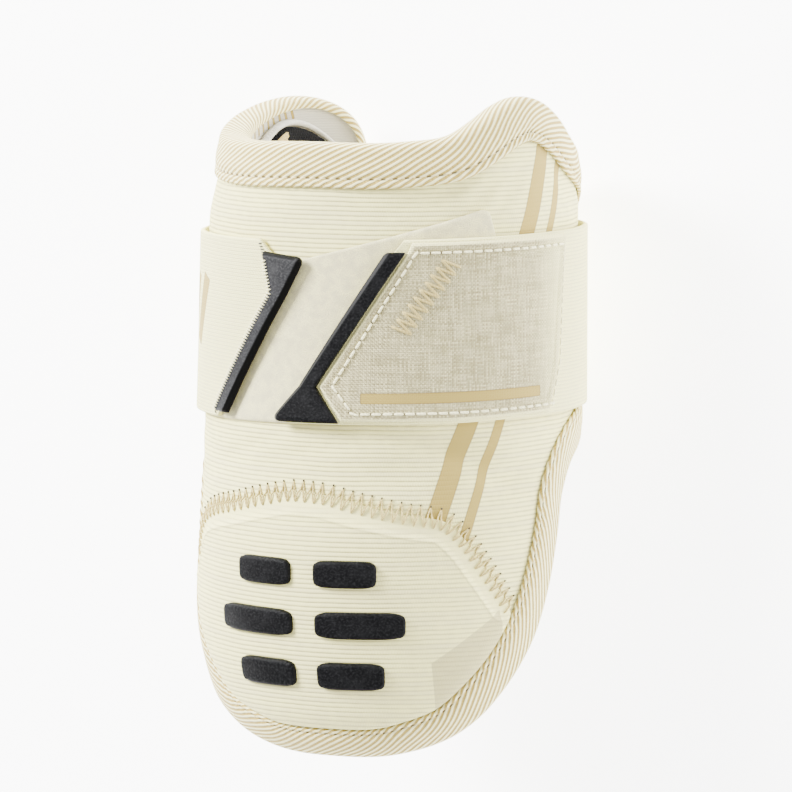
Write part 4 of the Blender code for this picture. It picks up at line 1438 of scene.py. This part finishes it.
def make_inner_pad():
    """The black pad in the left flap, its white piping and its ribbed tab."""
    low = PAD_HEIGHTS[0] * LENGTH
    wide, tall = 0.052, 0.080

    def pad(u, v, out):
        across, up = eased(u, 0.6), eased(v, 0.6)
        angle = PAD_MIDDLE + PAD_HALF * (2 * across - 1)
        height = low + (pad_top(angle) - low) * up
        near = np.minimum(np.minimum(across, 1 - across) * wide, np.minimum(up, 1 - up) * tall)
        deep = PAD_WALL * (0.45 + 0.55 * round_over(near, 0.0045))
        return np.radians(angle), height, PAD_LIFT - np.where(out, 0.0, deep)

    def piping(u, v, out):
        angle = PAD_MIDDLE + PAD_HALF * (2 * u - 1)
        height = pad_top(angle) + BESIDE + PIPING_WIDTH * v
        deep = PIPING_WALL * (0.35 + 0.65 * np.sqrt(np.maximum(1 - (2 * v - 1) ** 2, 0.0)))
        return np.radians(angle), height, PAD_LIFT - np.where(out, 0.0, deep)

    def tab(u, v, out):
        angle = PAD_TAB_ANGLE + np.degrees(PAD_TAB_WIDTH / RADIUS) * (u - 0.5)
        height = pad_top(angle) - PAD_TAB_LENGTH * (1 - v)
        ribs = 0.00022 * np.sin(2 * np.pi * v * 7)
        lift = PAD_LIFT - PAD_WALL - GAP
        return np.radians(angle), height, lift - np.where(out, 0.0, PAD_TAB_WALL + ribs)

    slab("flap_pad", (70, 60), pad, pad_cloth, ["inner_pad"])
    slab("flap_pad_piping", (90, 10), piping, white_piping, ["pad_piping"])
    slab("flap_pad_tab", (12, 56), tab, tan_ribbon, ["pad_tab"])


# ---- The studio ----


def sight():
    """The point looked at, and the directions to the camera, to its right and up."""
    turn, rise = math.radians(SIGHT_TURN), math.radians(SIGHT_RISE)
    level = math.cos(rise)
    back = Vector((math.sin(turn) * level, math.sin(rise), math.cos(turn) * level))
    right = Vector((math.cos(turn), 0.0, -math.sin(turn)))
    return Vector(ARM_AXIS) + Vector((0.0, SIGHT_HEIGHT, 0.0)), back, right, back.cross(right)


def make_camera():
    target, back, right, up = sight()
    lens = bpy.data.cameras.new("view")
    lens.lens = LENS
    lens.sensor_width = 36
    lens.clip_start = 0.05
    lens.clip_end = 50
    camera = new_object("view", lens)
    camera.location = target + right * SIGHT_ASIDE + back * SIGHT_DISTANCE
    camera.rotation_mode = "QUATERNION"
    camera.rotation_quaternion = Matrix((right, up, back)).transposed().to_quaternion()
    bpy.context.scene.camera = camera


def make_light(name, aside, above, near, size, power):
    """A soft square light, placed from the middle of the guard along the camera's directions."""
    target, back, right, up = sight()
    lamp = bpy.data.lights.new(name, "AREA")
    lamp.size = size
    lamp.energy = power
    light = new_object(name, lamp)
    light.location = target + right * aside + up * above + back * near
    light.rotation_mode = "QUATERNION"
    light.rotation_quaternion = (target - light.location).to_track_quat("-Z", "Y")


def make_stage():
    bpy.ops.mesh.primitive_plane_add(size=12)
    floor = bpy.context.object
    floor.name = "floor"
    look = bpy.data.materials.new("pale_floor")
    look.use_nodes = True
    shader = look.node_tree.nodes["Principled BSDF"]
    shader.inputs["Base Color"].default_value = (0.94, 0.94, 0.94, 1.0)
    shader.inputs["Roughness"].default_value = 0.9
    # A lightbox floor: it glows a little, as in a product photograph.
    shader.inputs["Emission Color"].default_value = (1.0, 1.0, 1.0, 1.0)
    shader.inputs["Emission Strength"].default_value = 6.0
    floor.data.materials.append(look)
    floor.select_set(False)
    world = bpy.data.worlds.new("studio")
    world.use_nodes = True
    world.node_tree.nodes["Background"].inputs[0].default_value = (1.0, 1.0, 1.0, 1.0)
    world.node_tree.nodes["Background"].inputs[1].default_value = 1.35
    bpy.context.scene.world = world
    make_light("key", aside=-1.45, above=0.9, near=0.65, size=0.7, power=155)
    make_light("fill", aside=1.1, above=-0.2, near=1.2, size=1.4, power=16)


make_camera()
make_stage()
make_shell()
make_lining()
make_binding()
make_cap()
make_cap_seam()
make_bumpers()
make_loop_panel()
make_strap()
make_cover()
make_cover_stitches()
make_trims()
make_inner_pad()
